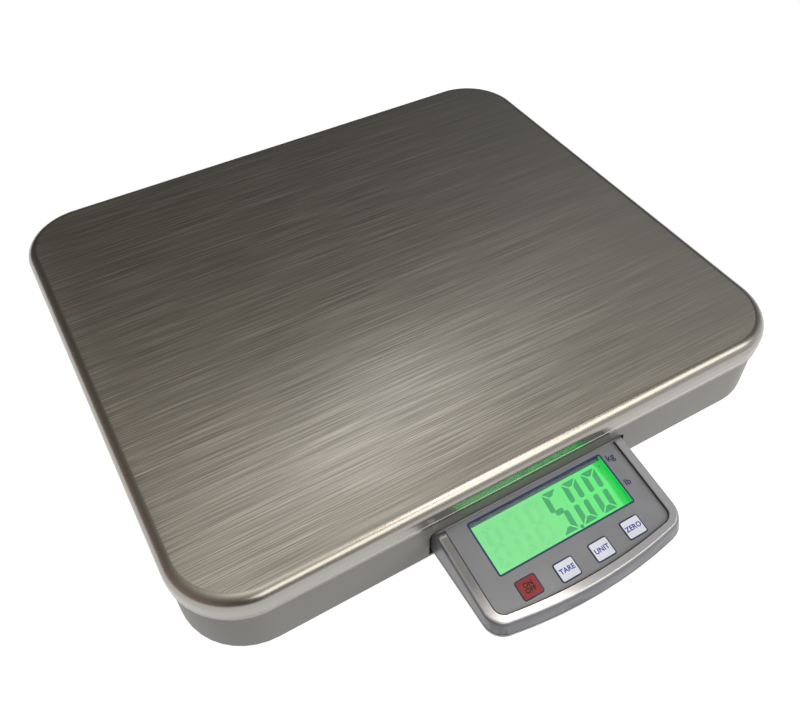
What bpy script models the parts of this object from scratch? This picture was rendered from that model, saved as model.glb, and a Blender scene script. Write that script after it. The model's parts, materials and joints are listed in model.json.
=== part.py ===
"""Platform shipping scale with a low front display head.

A stainless tray sits over a grey pressed base.  One beam load cell between the
base floor and a spider frame carries the tray.  The display head stands in a
window in the front of the base.  Lengths are metres, +Z is up and the front of
the scale faces -Y.  The origin is on the ground, under the middle of the whole
footprint.
"""

import math

import bmesh
import bpy

# Fits
CLEARANCE = 0.0003
SLIP = 0.0006

# Weighing tray
TRAY_WIDTH = 0.430
TRAY_DEPTH = 0.375
TRAY_SHEET = 0.0012
TRAY_SKIRT = 0.0175
TRAY_EDGE_RADIUS = 0.008
TRAY_CORNER_RADIUS = 0.045
TRAY_BASE_GAP = 0.0008

# Base pan and feet
FOOT_HEIGHT = 0.006
FOOT_RADIUS = 0.016
FOOT_TAPER = 0.0015
FOOT_STEM_RADIUS = 0.004
FOOT_STEM_LENGTH = 0.006
FOOT_EDGE_INSET = 0.038
BASE_SHEET = 0.002
BASE_VISIBLE = 0.0395
BASE_TUCK = 0.006
BASE_EDGE_RADIUS = 0.003
WINDOW_SIDE_GAP = 0.0025
WINDOW_TOP_GAP = 0.0012
WINDOW_CORNER = 0.0035

# Load cell, spacers, spider frame and stops
CELL_LENGTH = 0.150
CELL_WIDTH = 0.036
CELL_HEIGHT = 0.022
CELL_HOLE_RADIUS = 0.0075
CELL_HOLE_PITCH = 0.024
CELL_PAD_LENGTH = 0.034
UPPER_SPACER_HEIGHT = 0.005
BOLT_RADIUS = 0.003
BOLT_HEAD_RADIUS = 0.0055
BOLT_HEAD_HEIGHT = 0.0022
BOLT_ENGAGEMENT = 0.010
BOLT_PITCH = 0.018
SPIDER_SIDE_MARGIN = 0.040
SPIDER_END_MARGIN = 0.0395
SPIDER_THICKNESS = 0.006
SPIDER_RIM = 0.030
SPIDER_CORNER = 0.020
SPIDER_HOLE_RADIUS = 0.020
SPIDER_HOLE_X = 0.060
SPIDER_HOLE_Y = 0.075
STOP_RADIUS = 0.005
STOP_GAP = 0.0005
BUFFER_RADIUS = 0.011
BUFFER_HEIGHT = 0.003

# Display head
HEAD_X = 0.0024
HEAD_HALF_FOOT = 0.0708
HEAD_REACH = 0.0726
HEAD_BOW = 0.0078
HEAD_CORNER = 0.0127
HEAD_TAIL = 0.026
HEAD_WALL = 0.0022
HEAD_FLOOR = 0.0022
HEAD_SIDE_DRAFT = 0.02
HEAD_FRONT_DRAFT = 0.40
HEAD_SEAM_HEIGHT = 0.0042
HEAD_SEAM_STEP = 0.0004
PANEL_TILT = math.radians(9.3)
PANEL_BACK_HEIGHT = 0.0255
RIM_HEIGHT = 0.0008
RIM_SIDE = 0.0070
RIM_FRONT = 0.0053
RIM_ROUND = 0.0012
RIM_BACK = 0.0010
OVERLAY_CORNER = 0.0065
OVERLAY_BOW = 0.0053
OVERLAY_THICKNESS = 0.0008
PANEL_WALL = 0.0019
DOCK_SHEET = 0.002
DOCK_LENGTH = 0.034
DOCK_WALL_HEIGHT = 0.014

# Display stack and keys
LCD_WIDTH = 0.100
LCD_HEIGHT = 0.0363
LCD_BACK = 0.0036
LCD_BORDER = 0.0015
LCD_GLASS_THICKNESS = 0.0022
BACKLIGHT_THICKNESS = 0.003
BOARD_THICKNESS = 0.0016
KEY_WIDTH = 0.0136
KEY_HEIGHT = 0.0120
KEY_PITCH = 0.0256
KEY_ROW = 0.0548
KEY_OUTER_LIFT = 0.0020
KEY_CORNER = 0.0014
KEY_RISE = 0.0003
KEY_DEPTH = 0.0030
KEY_TRAVEL = 0.0005
SWITCH_SIZE = 0.006
SWITCH_HEIGHT = 0.0025
KEY_BOARD_DEPTH = 0.010
SCREW_RADIUS = 0.0015
SCREW_HEAD_RADIUS = 0.0027
SCREW_HEAD_HEIGHT = 0.0012
SCREW_LENGTH = 0.0085
BOSS_RADIUS = 0.0038
BOSS_INSET = 0.0085
BOSS_BACK = 0.013
BOSS_FRONT = 0.030

# Battery compartment in the floor of the base
BATTERY_RADIUS = 0.0071
BATTERY_LENGTH = 0.050
BATTERY_COUNT = 4
BATTERY_GAP = 0.0006
BATTERY_WALL = 0.0016
CONTACT_THICKNESS = 0.0008
CONTACT_HEIGHT = 0.010
BATTERY_X = 0.085
BATTERY_Y = 0.085
DOOR_LEDGE = 0.004
DOOR_GRIP_RADIUS = 0.006

# Cable gland in the rear wall of the base
GLAND_RADIUS = 0.005
GLAND_BORE = 0.0018
GLAND_FLANGE_RADIUS = 0.008
GLAND_FLANGE = 0.0015
GLAND_LENGTH = 0.012
GLAND_X = -0.120

# Heights worked out from the sizes above
BASE_INSET = TRAY_SHEET + TRAY_BASE_GAP
BASE_BOTTOM = FOOT_HEIGHT
FLOOR_TOP = BASE_BOTTOM + BASE_SHEET
TRAY_LIP = BASE_BOTTOM + BASE_VISIBLE
TRAY_TOP = TRAY_LIP + TRAY_SKIRT
BASE_TOP = TRAY_LIP + BASE_TUCK
BUFFER_TOP = TRAY_TOP - TRAY_SHEET - CLEARANCE
SPIDER_TOP = BUFFER_TOP - BUFFER_HEIGHT - CLEARANCE
SPIDER_BOTTOM = SPIDER_TOP - SPIDER_THICKNESS
UPPER_SPACER_TOP = SPIDER_BOTTOM - CLEARANCE
CELL_TOP = UPPER_SPACER_TOP - UPPER_SPACER_HEIGHT - CLEARANCE
CELL_BOTTOM = CELL_TOP - CELL_HEIGHT
LOWER_SPACER_TOP = CELL_BOTTOM - CLEARANCE
FLOOR_SEAT = FLOOR_TOP + CLEARANCE
HEAD_BOTTOM = FLOOR_SEAT + DOCK_SHEET + CLEARANCE
HEAD_SEAM = HEAD_BOTTOM + HEAD_SEAM_HEIGHT
PANEL_BACK = BASE_BOTTOM + PANEL_BACK_HEIGHT
TAIL_TOP = PANEL_BACK + RIM_HEIGHT
WINDOW_TOP = TAIL_TOP + WINDOW_TOP_GAP
WINDOW_BOTTOM = HEAD_BOTTOM - CLEARANCE
WINDOW_HALF = HEAD_HALF_FOOT + WINDOW_SIDE_GAP

# Plan positions worked out from the sizes above
SPIDER_WIDTH = TRAY_WIDTH - 2 * SPIDER_SIDE_MARGIN
SPIDER_DEPTH = TRAY_DEPTH - 2 * SPIDER_END_MARGIN
BASE_WIDTH = TRAY_WIDTH - 2 * BASE_INSET
BASE_DEPTH = TRAY_DEPTH - 2 * BASE_INSET
BASE_FACE = -BASE_DEPTH / 2
FOOT_X = TRAY_WIDTH / 2 - FOOT_EDGE_INSET
FOOT_Y = TRAY_DEPTH / 2 - FOOT_EDGE_INSET
SPIDER_SEAT_X = (SPIDER_WIDTH - SPIDER_RIM) / 2
SPIDER_SEAT_Y = (SPIDER_DEPTH - SPIDER_RIM) / 2
BOLT_X = (CELL_LENGTH - CELL_PAD_LENGTH) / 2
FRONT_OVERHANG = HEAD_REACH - BASE_INSET
PLATFORM_Y = FRONT_OVERHANG / 2
HEAD_RIM_HALF = HEAD_HALF_FOOT - HEAD_SIDE_DRAFT * (TAIL_TOP - HEAD_SEAM)

# Depths below the face of the overlay, measured along the panel's normal
RECESS_DEPTH = OVERLAY_THICKNESS + CLEARANCE
GLASS_TOP = RECESS_DEPTH + PANEL_WALL + CLEARANCE
BACKLIGHT_TOP = GLASS_TOP + LCD_GLASS_THICKNESS + CLEARANCE
BOARD_TOP = BACKLIGHT_TOP + BACKLIGHT_THICKNESS + CLEARANCE
SWITCH_TOP = KEY_DEPTH + KEY_TRAVEL + CLEARANCE
KEY_BOARD_TOP = SWITCH_TOP + SWITCH_HEIGHT + CLEARANCE

# Lengths worked out for the battery compartment
BATTERY_PITCH = 2 * BATTERY_RADIUS + BATTERY_GAP
BAY_LENGTH = BATTERY_LENGTH + 2 * (CONTACT_THICKNESS + 2 * CLEARANCE)
BAY_WIDTH = BATTERY_COUNT * BATTERY_PITCH + BATTERY_GAP
BAY_TOP = FLOOR_SEAT + 2 * BATTERY_RADIUS + 2 * BATTERY_GAP

# Finishes: colour, roughness and metallic value
STEEL = ((0.55, 0.54, 0.52), 0.34, 1.0)
BOLT_STEEL = ((0.50, 0.50, 0.50), 0.35, 1.0)
BASE_GREY = ((0.36, 0.36, 0.35), 0.5, 0.6)
HEAD_GREY = ((0.18, 0.175, 0.195), 0.45, 0.0)
HEAD_PALE = ((0.42, 0.41, 0.38), 0.5, 0.0)
FILM_GREY = ((0.25, 0.26, 0.265), 0.4, 0.0)
KEY_PALE = ((0.72, 0.70, 0.80), 0.35, 0.0)
KEY_RED = ((0.62, 0.09, 0.08), 0.35, 0.0)
LENS_CLEAR = ((0.75, 0.90, 0.80), 0.08, 0.0)
GLASS_GREEN = ((0.12, 0.62, 0.25), 0.2, 0.0)
BACKLIGHT_GREEN = ((0.25, 0.85, 0.35), 0.5, 0.0)
BOARD_GREEN = ((0.03, 0.18, 0.08), 0.5, 0.0)
SWITCH_BLACK = ((0.02, 0.02, 0.02), 0.5, 0.0)
ALUMINIUM = ((0.70, 0.71, 0.72), 0.35, 1.0)
FRAME_PAINT = ((0.10, 0.10, 0.11), 0.5, 0.2)
RUBBER = ((0.025, 0.025, 0.025), 0.85, 0.0)
BOX_BLACK = ((0.04, 0.04, 0.04), 0.55, 0.0)
CELL_WRAP = ((0.05, 0.20, 0.35), 0.4, 0.0)


def clear_scene():
    for obj in list(bpy.data.objects):
        bpy.data.objects.remove(obj, do_unlink=True)


def new_collection(name):
    collection = bpy.data.collections.new(name)
    bpy.context.scene.collection.children.link(collection)
    return collection


def new_empty(name, location, parent=None, tilt=0.0):
    empty = bpy.data.objects.new(name, None)
    parts.objects.link(empty)
    empty.parent = parent
    empty.location = location
    empty.rotation_euler = (tilt, 0.0, 0.0)
    return empty


def finish_material(name, finish):
    material = bpy.data.materials.new(name)
    material.use_nodes = True
    shader = material.node_tree.nodes["Principled BSDF"]
    colour, roughness, metallic = finish
    shader.inputs["Base Color"].default_value = (*colour, 1.0)
    shader.inputs["Roughness"].default_value = roughness
    shader.inputs["Metallic"].default_value = metallic
    return material


def add_object(name, mesh, location, parent, finish):
    """Link a mesh as a sub-part, or as a hidden cutter when it has no finish."""
    obj = bpy.data.objects.new(name, mesh)
    obj.location = location
    obj.parent = parent
    if finish is None:
        cutters.objects.link(obj)
        obj.hide_render = True
        obj.display_type = "WIRE"
    else:
        parts.objects.link(obj)
        mesh.materials.append(finish_material(name, finish))
    return obj


def mesh_from(bm, name, smooth=False):
    mesh = bpy.data.meshes.new(name)
    bm.normal_update()
    bm.to_mesh(mesh)
    bm.free()
    if smooth:
        mesh.shade_smooth()
        mesh.set_sharp_from_angle(angle=math.radians(35))
    return mesh


def box(name, size, location, finish=None, parent=None):
    bm = bmesh.new()
    bmesh.ops.create_cube(bm, size=1.0)
    bmesh.ops.scale(bm, vec=size, verts=bm.verts)
    return add_object(name, mesh_from(bm, name), location, parent or platform, finish)


def cylinder(name, radius, length, location, finish=None, parent=None, axis="Z", sides=24):
    bm = bmesh.new()
    bmesh.ops.create_cone(bm, cap_ends=True, segments=sides, radius1=radius, radius2=radius, depth=length)
    obj = add_object(name, mesh_from(bm, name, smooth=True), location, parent or platform, finish)
    if axis == "X":
        obj.rotation_euler.y = math.pi / 2
    if axis == "Y":
        obj.rotation_euler.x = math.pi / 2
    return obj


def turned(name, profile, location, finish, parent=None, steps=24):
    """Turn a profile of (radius, height) points, listed from the top down its outer side."""
    mesh = bpy.data.meshes.new(name)
    points = [(radius, 0.0, height) for radius, height in profile]
    mesh.from_pydata(points, [(i, i + 1) for i in range(len(points) - 1)], [])
    obj = add_object(name, mesh, location, parent or platform, finish)
    screw = obj.modifiers.new("turn", "SCREW")
    screw.steps = steps
    screw.render_steps = steps
    screw.use_merge_vertices = True
    screw.merge_threshold = 0.00001
    return obj


def rounded_rectangle(width, depth, radius, steps=5):
    points = []
    corners = ((1, 1), (-1, 1), (-1, -1), (1, -1))
    for quarter, (sx, sy) in enumerate(corners):
        for step in range(steps + 1):
            angle = math.pi / 2 * (quarter + step / steps)
            points.append((sx * (width / 2 - radius) + radius * math.cos(angle),
                           sy * (depth / 2 - radius) + radius * math.sin(angle)))
    return points


def moved(points, x, y):
    return [(px + x, py + y) for px, py in points]


def plate(name, loops, thickness, location, finish=None, parent=None):
    """Extrude a flat outline, with its holes, through a thickness centred on location."""
    curve = bpy.data.curves.new(name, "CURVE")
    curve.dimensions = "2D"
    curve.fill_mode = "BOTH"
    curve.extrude = thickness / 2
    for loop in loops:
        spline = curve.splines.new("POLY")
        spline.points.add(len(loop) - 1)
        for point, (x, y) in zip(spline.points, loop):
            point.co = (x, y, 0.0, 1.0)
        spline.use_cyclic_u = True
    guide = bpy.data.objects.new(name + "_curve", curve)
    cutters.objects.link(guide)
    bpy.context.view_layer.update()
    evaluated = guide.evaluated_get(bpy.context.evaluated_depsgraph_get())
    mesh = bpy.data.meshes.new_from_object(evaluated)
    bpy.data.objects.remove(guide, do_unlink=True)
    bm = bmesh.new()
    bm.from_mesh(mesh)
    bmesh.ops.remove_doubles(bm, verts=bm.verts, dist=0.00001)
    bmesh.ops.dissolve_degenerate(bm, edges=bm.edges, dist=0.00001)
    bmesh.ops.recalc_face_normals(bm, faces=bm.faces)
    bm.to_mesh(mesh)
    bm.free()
    mesh.name = name
    mesh.materials.clear()
    return add_object(name, mesh, location, parent or platform, finish)


def boolean(target, other, operation="DIFFERENCE"):
    modifier = target.modifiers.new(other.name, "BOOLEAN")
    modifier.operation = operation
    modifier.object = other
    modifier.solver = "EXACT"


def drill(target, radius, length, location, name="bore", axis="Z", parent=None, sides=24):
    boolean(target, cylinder(name, radius, length, location, axis=axis, parent=parent, sides=sides))


def pan(name, width, depth, bottom, top, corner, edge, sheet, open_end, finish):
    """Pressed sheet pan: a box with round corners, one rounded end edge and one open end."""
    bm = bmesh.new()
    bmesh.ops.create_cube(bm, size=1.0)
    bmesh.ops.scale(bm, vec=(width, depth, top - bottom), verts=bm.verts)
    upright = [e for e in bm.edges if abs(e.verts[0].co.z - e.verts[1].co.z) > (top - bottom) / 2]
    bmesh.ops.bevel(bm, geom=upright, offset=corner, segments=10, profile=0.5, affect="EDGES")
    closed_end = -open_end * (top - bottom) / 2
    rim = [e for e in bm.edges if all(abs(v.co.z - closed_end) < CLEARANCE for v in e.verts)]
    bmesh.ops.bevel(bm, geom=rim, offset=edge, segments=4, profile=0.5, affect="EDGES")
    ends = [f for f in bm.faces if f.normal.z * open_end > 0.9]
    lid = [f for f in ends if abs(f.calc_center_median().z + closed_end) < edge]
    bmesh.ops.delete(bm, geom=lid, context="FACES")
    obj = add_object(name, mesh_from(bm, name, smooth=True), (0, 0, (top + bottom) / 2), platform, finish)
    solid = obj.modifiers.new("sheet", "SOLIDIFY")
    solid.thickness = sheet
    solid.offset = -1.0
    solid.use_even_offset = True
    return obj


def head_loop(half, reach, radius, back, bow):
    """Plan of the head: straight back and sides, round front corners and a bowed front."""
    slope = math.atan(2 * bow / half)
    turn = math.pi / 2 - slope
    end_x = half - radius + radius * math.cos(turn)
    end_y = -reach + bow * (end_x / half) ** 2
    centre_y = end_y + radius * math.sin(turn)
    right = [(half, back)]
    for step in range(7):
        angle = -turn * step / 6
        right.append((half - radius + radius * math.cos(angle), centre_y + radius * math.sin(angle)))
    for share in (0.75, 0.5, 0.25):
        x = end_x * share
        right.append((x, -reach + bow * (x / half) ** 2))
    left = [(-x, y) for x, y in reversed(right)]
    return right + [(0.0, -reach)] + left


def foot_loop(inset, back):
    """Plan of the head at its foot, drawn in by an inset."""
    return head_loop(HEAD_HALF_FOOT - inset, HEAD_REACH - inset, HEAD_CORNER - inset, back, HEAD_BOW)


def overlay_loop(grow):
    """Plan of the overlay inside the rim, in the panel's own axes."""
    reach = HEAD_REACH - HEAD_FRONT_DRAFT * (PANEL_BACK - HEAD_SEAM) / 2 - RIM_FRONT
    half = HEAD_RIM_HALF - RIM_SIDE
    return head_loop(half + grow, reach + grow, OVERLAY_CORNER + grow, grow - RIM_BACK, OVERLAY_BOW)


def drafted(name, loop, bottom, top, finish=None):
    """Raise the head's plan from bottom to top, drawing its sides and front inward."""
    bm = bmesh.new()
    face = bm.faces.new([bm.verts.new((x, y, bottom)) for x, y in loop])
    half = max(x for x, _ in loop)
    reach = -min(y for _, y in loop)
    raised = bmesh.ops.extrude_face_region(bm, geom=[face])["geom"]
    side_scale = (half - HEAD_SIDE_DRAFT * (top - bottom)) / half
    front_scale = (reach - HEAD_FRONT_DRAFT * (top - bottom)) / reach
    for vert in (g for g in raised if isinstance(g, bmesh.types.BMVert)):
        vert.co.x *= side_scale
        vert.co.y *= front_scale if vert.co.y < 0 else 1.0
        vert.co.z = top
    bmesh.ops.recalc_face_normals(bm, faces=bm.faces)
    return add_object(name, mesh_from(bm, name, smooth=True), (0, BASE_FACE, 0), head_axis, finish)


def trim_to_panel(target, depth, tail_top):
    """Cut a head solid to the sloping panel, and level with the tail behind the base's face."""
    reach = 2 * HEAD_REACH
    boolean(target, box(target.name + "_slope", (2 * TRAY_WIDTH, 2 * reach, reach),
                        (0, 0, reach / 2 - depth), parent=panel))
    boolean(target, box(target.name + "_tail", (2 * TRAY_WIDTH, reach, reach),
                        (0, BASE_FACE + reach / 2 - SLIP, tail_top + reach / 2), parent=head_axis))


def round_top(target, radius):
    """Settle a trimmed solid into a plain mesh and round the edge where its walls meet its top."""
    bpy.context.view_layer.update()
    evaluated = target.evaluated_get(bpy.context.evaluated_depsgraph_get())
    mesh = bpy.data.meshes.new_from_object(evaluated)
    target.modifiers.clear()
    bm = bmesh.new()
    bm.from_mesh(mesh)
    rim = []
    for edge in bm.edges:
        rises = sorted(face.normal.z for face in edge.link_faces)
        if rises[0] < 0.7 and rises[-1] > 0.9:
            rim.append(edge)
    bmesh.ops.bevel(bm, geom=rim, offset=radius, segments=3, profile=0.5, affect="EDGES")
    bm.to_mesh(mesh)
    bm.free()
    mesh.shade_smooth()
    mesh.set_sharp_from_angle(angle=math.radians(35))
    target.data = mesh


def panel_point(x, back_distance, depth):
    """Place in the panel's own axes: x across, distance forward of the base's face, depth below."""
    return (x, -back_distance, -depth)


def key_places():
    names = ("on_off", "tare", "unit", "zero")
    for index, name in enumerate(names):
        offset = index - (len(names) - 1) / 2
        row = KEY_ROW - (KEY_OUTER_LIFT if abs(offset) > 1 else 0.0)
        yield name, offset * KEY_PITCH, row


def build_tray():
    pan("weighing_tray", TRAY_WIDTH, TRAY_DEPTH, TRAY_LIP, TRAY_TOP, TRAY_CORNER_RADIUS,
        TRAY_EDGE_RADIUS, TRAY_SHEET, -1, STEEL)


def build_base():
    base = pan("base_pan", BASE_WIDTH, BASE_DEPTH, BASE_BOTTOM, BASE_TOP,
               TRAY_CORNER_RADIUS - BASE_INSET, BASE_EDGE_RADIUS, BASE_SHEET, 1, BASE_GREY)
    window = box("window", (2 * WINDOW_HALF, 4 * BASE_INSET + 4 * BASE_SHEET, WINDOW_TOP - WINDOW_BOTTOM),
                 (0, BASE_FACE, (WINDOW_TOP + WINDOW_BOTTOM) / 2), parent=head_axis)
    bm = bmesh.new()
    bm.from_mesh(window.data)
    upper = [e for e in bm.edges if all(v.co.z > 0 for v in e.verts)]
    top_edges = [e for e in upper if e.verts[0].co.x == e.verts[1].co.x]
    bmesh.ops.bevel(bm, geom=top_edges, offset=WINDOW_CORNER, segments=2, profile=0.5, affect="EDGES")
    bm.to_mesh(window.data)
    bm.free()
    boolean(base, window)
    boolean(base, box("battery_opening", (BAY_LENGTH, BAY_WIDTH, 4 * BASE_SHEET),
                      (BATTERY_X, BATTERY_Y, BASE_BOTTOM)))
    for x in (-FOOT_X, FOOT_X):
        for y in (-FOOT_Y, FOOT_Y):
            drill(base, FOOT_STEM_RADIUS + CLEARANCE, 4 * BASE_SHEET, (x, y, BASE_BOTTOM))
    for y in (-BOLT_PITCH / 2, BOLT_PITCH / 2):
        drill(base, BOLT_RADIUS + CLEARANCE, 4 * BASE_SHEET, (-BOLT_X, y, BASE_BOTTOM))
    drill(base, GLAND_RADIUS + CLEARANCE, 4 * BASE_SHEET, (GLAND_X, -BASE_FACE, gland_height()), axis="Y")


def build_feet():
    top = FOOT_HEIGHT - CLEARANCE
    profile = [(0.0, FOOT_HEIGHT + FOOT_STEM_LENGTH), (FOOT_STEM_RADIUS, FOOT_HEIGHT + FOOT_STEM_LENGTH),
               (FOOT_STEM_RADIUS, top), (FOOT_RADIUS, top), (FOOT_RADIUS - FOOT_TAPER, 0.0), (0.0, 0.0)]
    for side, x in (("left", -FOOT_X), ("right", FOOT_X)):
        for end, y in (("front", -FOOT_Y), ("rear", FOOT_Y)):
            turned(f"foot_{end}_{side}", profile, (x, y, 0), RUBBER)


def build_cell():
    height = (CELL_TOP + CELL_BOTTOM) / 2
    cell = box("load_cell", (CELL_LENGTH, CELL_WIDTH, CELL_HEIGHT), (0, 0, height), ALUMINIUM)
    for x in (-CELL_HOLE_PITCH / 2, CELL_HOLE_PITCH / 2):
        drill(cell, CELL_HOLE_RADIUS, 2 * CELL_WIDTH, (x, 0, height), axis="Y")
    boolean(cell, box("cell_slot", (CELL_HOLE_PITCH, 2 * CELL_WIDTH, CELL_HOLE_RADIUS), (0, 0, height)))
    lower_height = LOWER_SPACER_TOP - FLOOR_SEAT
    lower = box("cell_spacer_lower", (CELL_PAD_LENGTH, CELL_WIDTH, lower_height),
                (-BOLT_X, 0, FLOOR_SEAT + lower_height / 2), FRAME_PAINT)
    upper = box("cell_spacer_upper", (CELL_PAD_LENGTH, CELL_WIDTH, UPPER_SPACER_HEIGHT),
                (BOLT_X, 0, UPPER_SPACER_TOP - UPPER_SPACER_HEIGHT / 2), FRAME_PAINT)
    hole = BOLT_RADIUS + CLEARANCE
    depth = 2 * (BOLT_ENGAGEMENT + CLEARANCE)
    for y in (-BOLT_PITCH / 2, BOLT_PITCH / 2):
        drill(cell, hole, depth, (-BOLT_X, y, CELL_BOTTOM))
        drill(cell, hole, depth, (BOLT_X, y, CELL_TOP))
        drill(lower, hole, 2 * lower_height, (-BOLT_X, y, FLOOR_SEAT + lower_height / 2))
        drill(upper, hole, 4 * UPPER_SPACER_HEIGHT, (BOLT_X, y, UPPER_SPACER_TOP))


def build_bolts():
    """Two bolts up through the floor into the fixed end, two down through the spider."""
    lower = [(0.0, CELL_BOTTOM + BOLT_ENGAGEMENT), (BOLT_RADIUS, CELL_BOTTOM + BOLT_ENGAGEMENT),
             (BOLT_RADIUS, BASE_BOTTOM - CLEARANCE), (BOLT_HEAD_RADIUS, BASE_BOTTOM - CLEARANCE),
             (BOLT_HEAD_RADIUS, BASE_BOTTOM - CLEARANCE - BOLT_HEAD_HEIGHT),
             (0.0, BASE_BOTTOM - CLEARANCE - BOLT_HEAD_HEIGHT)]
    upper = [(0.0, SPIDER_TOP + CLEARANCE + BOLT_HEAD_HEIGHT),
             (BOLT_HEAD_RADIUS, SPIDER_TOP + CLEARANCE + BOLT_HEAD_HEIGHT),
             (BOLT_HEAD_RADIUS, SPIDER_TOP + CLEARANCE), (BOLT_RADIUS, SPIDER_TOP + CLEARANCE),
             (BOLT_RADIUS, CELL_TOP - BOLT_ENGAGEMENT), (0.0, CELL_TOP - BOLT_ENGAGEMENT)]
    for end, y in (("front", -BOLT_PITCH / 2), ("rear", BOLT_PITCH / 2)):
        turned(f"cell_bolt_lower_{end}", lower, (-BOLT_X, y, 0), BOLT_STEEL, steps=16)
        turned(f"cell_bolt_upper_{end}", upper, (BOLT_X, y, 0), BOLT_STEEL, steps=16)


def build_spider():
    loops = [rounded_rectangle(SPIDER_WIDTH, SPIDER_DEPTH, SPIDER_CORNER)]
    lightening = rounded_rectangle(2 * SPIDER_HOLE_RADIUS, 2 * SPIDER_HOLE_RADIUS, SPIDER_HOLE_RADIUS)
    for column in (-1.5, -0.5, 0.5, 1.5):
        for row in (-1, 1):
            loops.append(moved(lightening, column * SPIDER_HOLE_X, row * SPIDER_HOLE_Y))
    hole = BOLT_RADIUS + CLEARANCE
    for y in (-BOLT_PITCH / 2, BOLT_PITCH / 2):
        loops.append(moved(rounded_rectangle(2 * hole, 2 * hole, hole), BOLT_X, y))
    plate("spider_frame", loops, SPIDER_THICKNESS, (0, 0, SPIDER_TOP - SPIDER_THICKNESS / 2), FRAME_PAINT)
    stop_top = SPIDER_BOTTOM - STOP_GAP
    for side, x in (("left", -SPIDER_SEAT_X), ("right", SPIDER_SEAT_X)):
        for end, y in (("front", -SPIDER_SEAT_Y), ("rear", SPIDER_SEAT_Y)):
            cylinder(f"tray_buffer_{end}_{side}", BUFFER_RADIUS, BUFFER_HEIGHT,
                     (x, y, BUFFER_TOP - BUFFER_HEIGHT / 2), RUBBER)
            cylinder(f"overload_stop_{end}_{side}", STOP_RADIUS, stop_top - FLOOR_SEAT,
                     (x, y, (stop_top + FLOOR_SEAT) / 2), BOLT_STEEL, sides=16)


def build_dock():
    """Tray on the base floor that the tail of the head slides into."""
    width = 2 * (HEAD_HALF_FOOT + SLIP)
    front = BASE_FACE + max(BASE_SHEET, BASE_EDGE_RADIUS) + CLEARANCE
    dock = box("head_dock", (width + 2 * DOCK_SHEET, DOCK_LENGTH, DOCK_WALL_HEIGHT),
               (0, front + DOCK_LENGTH / 2, FLOOR_SEAT + DOCK_WALL_HEIGHT / 2), BOX_BLACK, head_axis)
    hollow = (width, 2 * (DOCK_LENGTH - DOCK_SHEET), 2 * (DOCK_WALL_HEIGHT - DOCK_SHEET))
    boolean(dock, box("dock_hollow", hollow, (0, front, FLOOR_SEAT + DOCK_WALL_HEIGHT), parent=head_axis))


def boss_places():
    for side in (-1, 1):
        yield side * (HEAD_HALF_FOOT - HEAD_WALL - BOSS_INSET), BOSS_BACK
        yield side * (HEAD_HALF_FOOT - HEAD_WALL - BOSS_INSET), -BOSS_FRONT


def build_lower_housing():
    height = HEAD_SEAM_HEIGHT - CLEARANCE
    loop = foot_loop(HEAD_SEAM_STEP, HEAD_TAIL)
    lower = plate("head_lower_housing", [loop], height, (0, BASE_FACE, HEAD_BOTTOM + height / 2),
                  HEAD_PALE, head_axis)
    hollow = foot_loop(HEAD_SEAM_STEP + HEAD_WALL, HEAD_TAIL - HEAD_WALL)
    boolean(lower, plate("lower_hollow", [hollow], 2 * (height - HEAD_FLOOR),
                         (0, BASE_FACE, HEAD_BOTTOM + height), parent=head_axis))
    for x, y in boss_places():
        drill(lower, SCREW_RADIUS + CLEARANCE, 4 * HEAD_FLOOR, (x, BASE_FACE + y, HEAD_BOTTOM),
              parent=head_axis, sides=16)
        drill(lower, SCREW_HEAD_RADIUS + CLEARANCE, 2 * (SCREW_HEAD_HEIGHT + CLEARANCE),
              (x, BASE_FACE + y, HEAD_BOTTOM), parent=head_axis, sides=16)


def build_upper_housing():
    top = HEAD_BOTTOM + HEAD_REACH / 2
    upper = drafted("head_upper_housing", foot_loop(0.0, HEAD_TAIL), HEAD_SEAM, top, HEAD_GREY)
    trim_to_panel(upper, -RIM_HEIGHT, TAIL_TOP)
    round_top(upper, RIM_ROUND)
    cavity = drafted("head_cavity", foot_loop(HEAD_WALL, HEAD_TAIL - HEAD_WALL), HEAD_BOTTOM, top)
    trim_to_panel(cavity, RECESS_DEPTH + PANEL_WALL, TAIL_TOP - HEAD_WALL)
    boolean(upper, cavity)
    boss_bottom = HEAD_BOTTOM + HEAD_FLOOR + CLEARANCE
    for x, y in boss_places():
        under_panel = PANEL_BACK + y * math.tan(PANEL_TILT) - RECESS_DEPTH - PANEL_WALL / 2
        boss_top = under_panel if y < 0 else TAIL_TOP - HEAD_WALL / 2
        boss = cylinder("boss", BOSS_RADIUS, boss_top - boss_bottom,
                        (x, BASE_FACE + y, (boss_top + boss_bottom) / 2), parent=head_axis, sides=16)
        boolean(upper, boss, "UNION")
        drill(upper, SCREW_RADIUS + CLEARANCE, 2 * SCREW_LENGTH, (x, BASE_FACE + y, HEAD_BOTTOM),
              parent=head_axis, sides=16)
    recess = RECESS_DEPTH + 2 * RIM_HEIGHT
    boolean(upper, plate("overlay_recess", [overlay_loop(CLEARANCE)], recess,
                         panel_point(0, 0, RECESS_DEPTH - recess / 2), parent=panel))
    through = 4 * (RECESS_DEPTH + PANEL_WALL)
    boolean(upper, box("lcd_opening", (LCD_WIDTH, LCD_HEIGHT, through),
                       panel_point(0, LCD_BACK + LCD_HEIGHT / 2, 0), parent=panel))
    for name, x, row in key_places():
        size = (KEY_WIDTH + 2 * CLEARANCE, KEY_HEIGHT + 2 * CLEARANCE, through)
        boolean(upper, box("opening_" + name, size, panel_point(x, row, 0), parent=panel))


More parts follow.
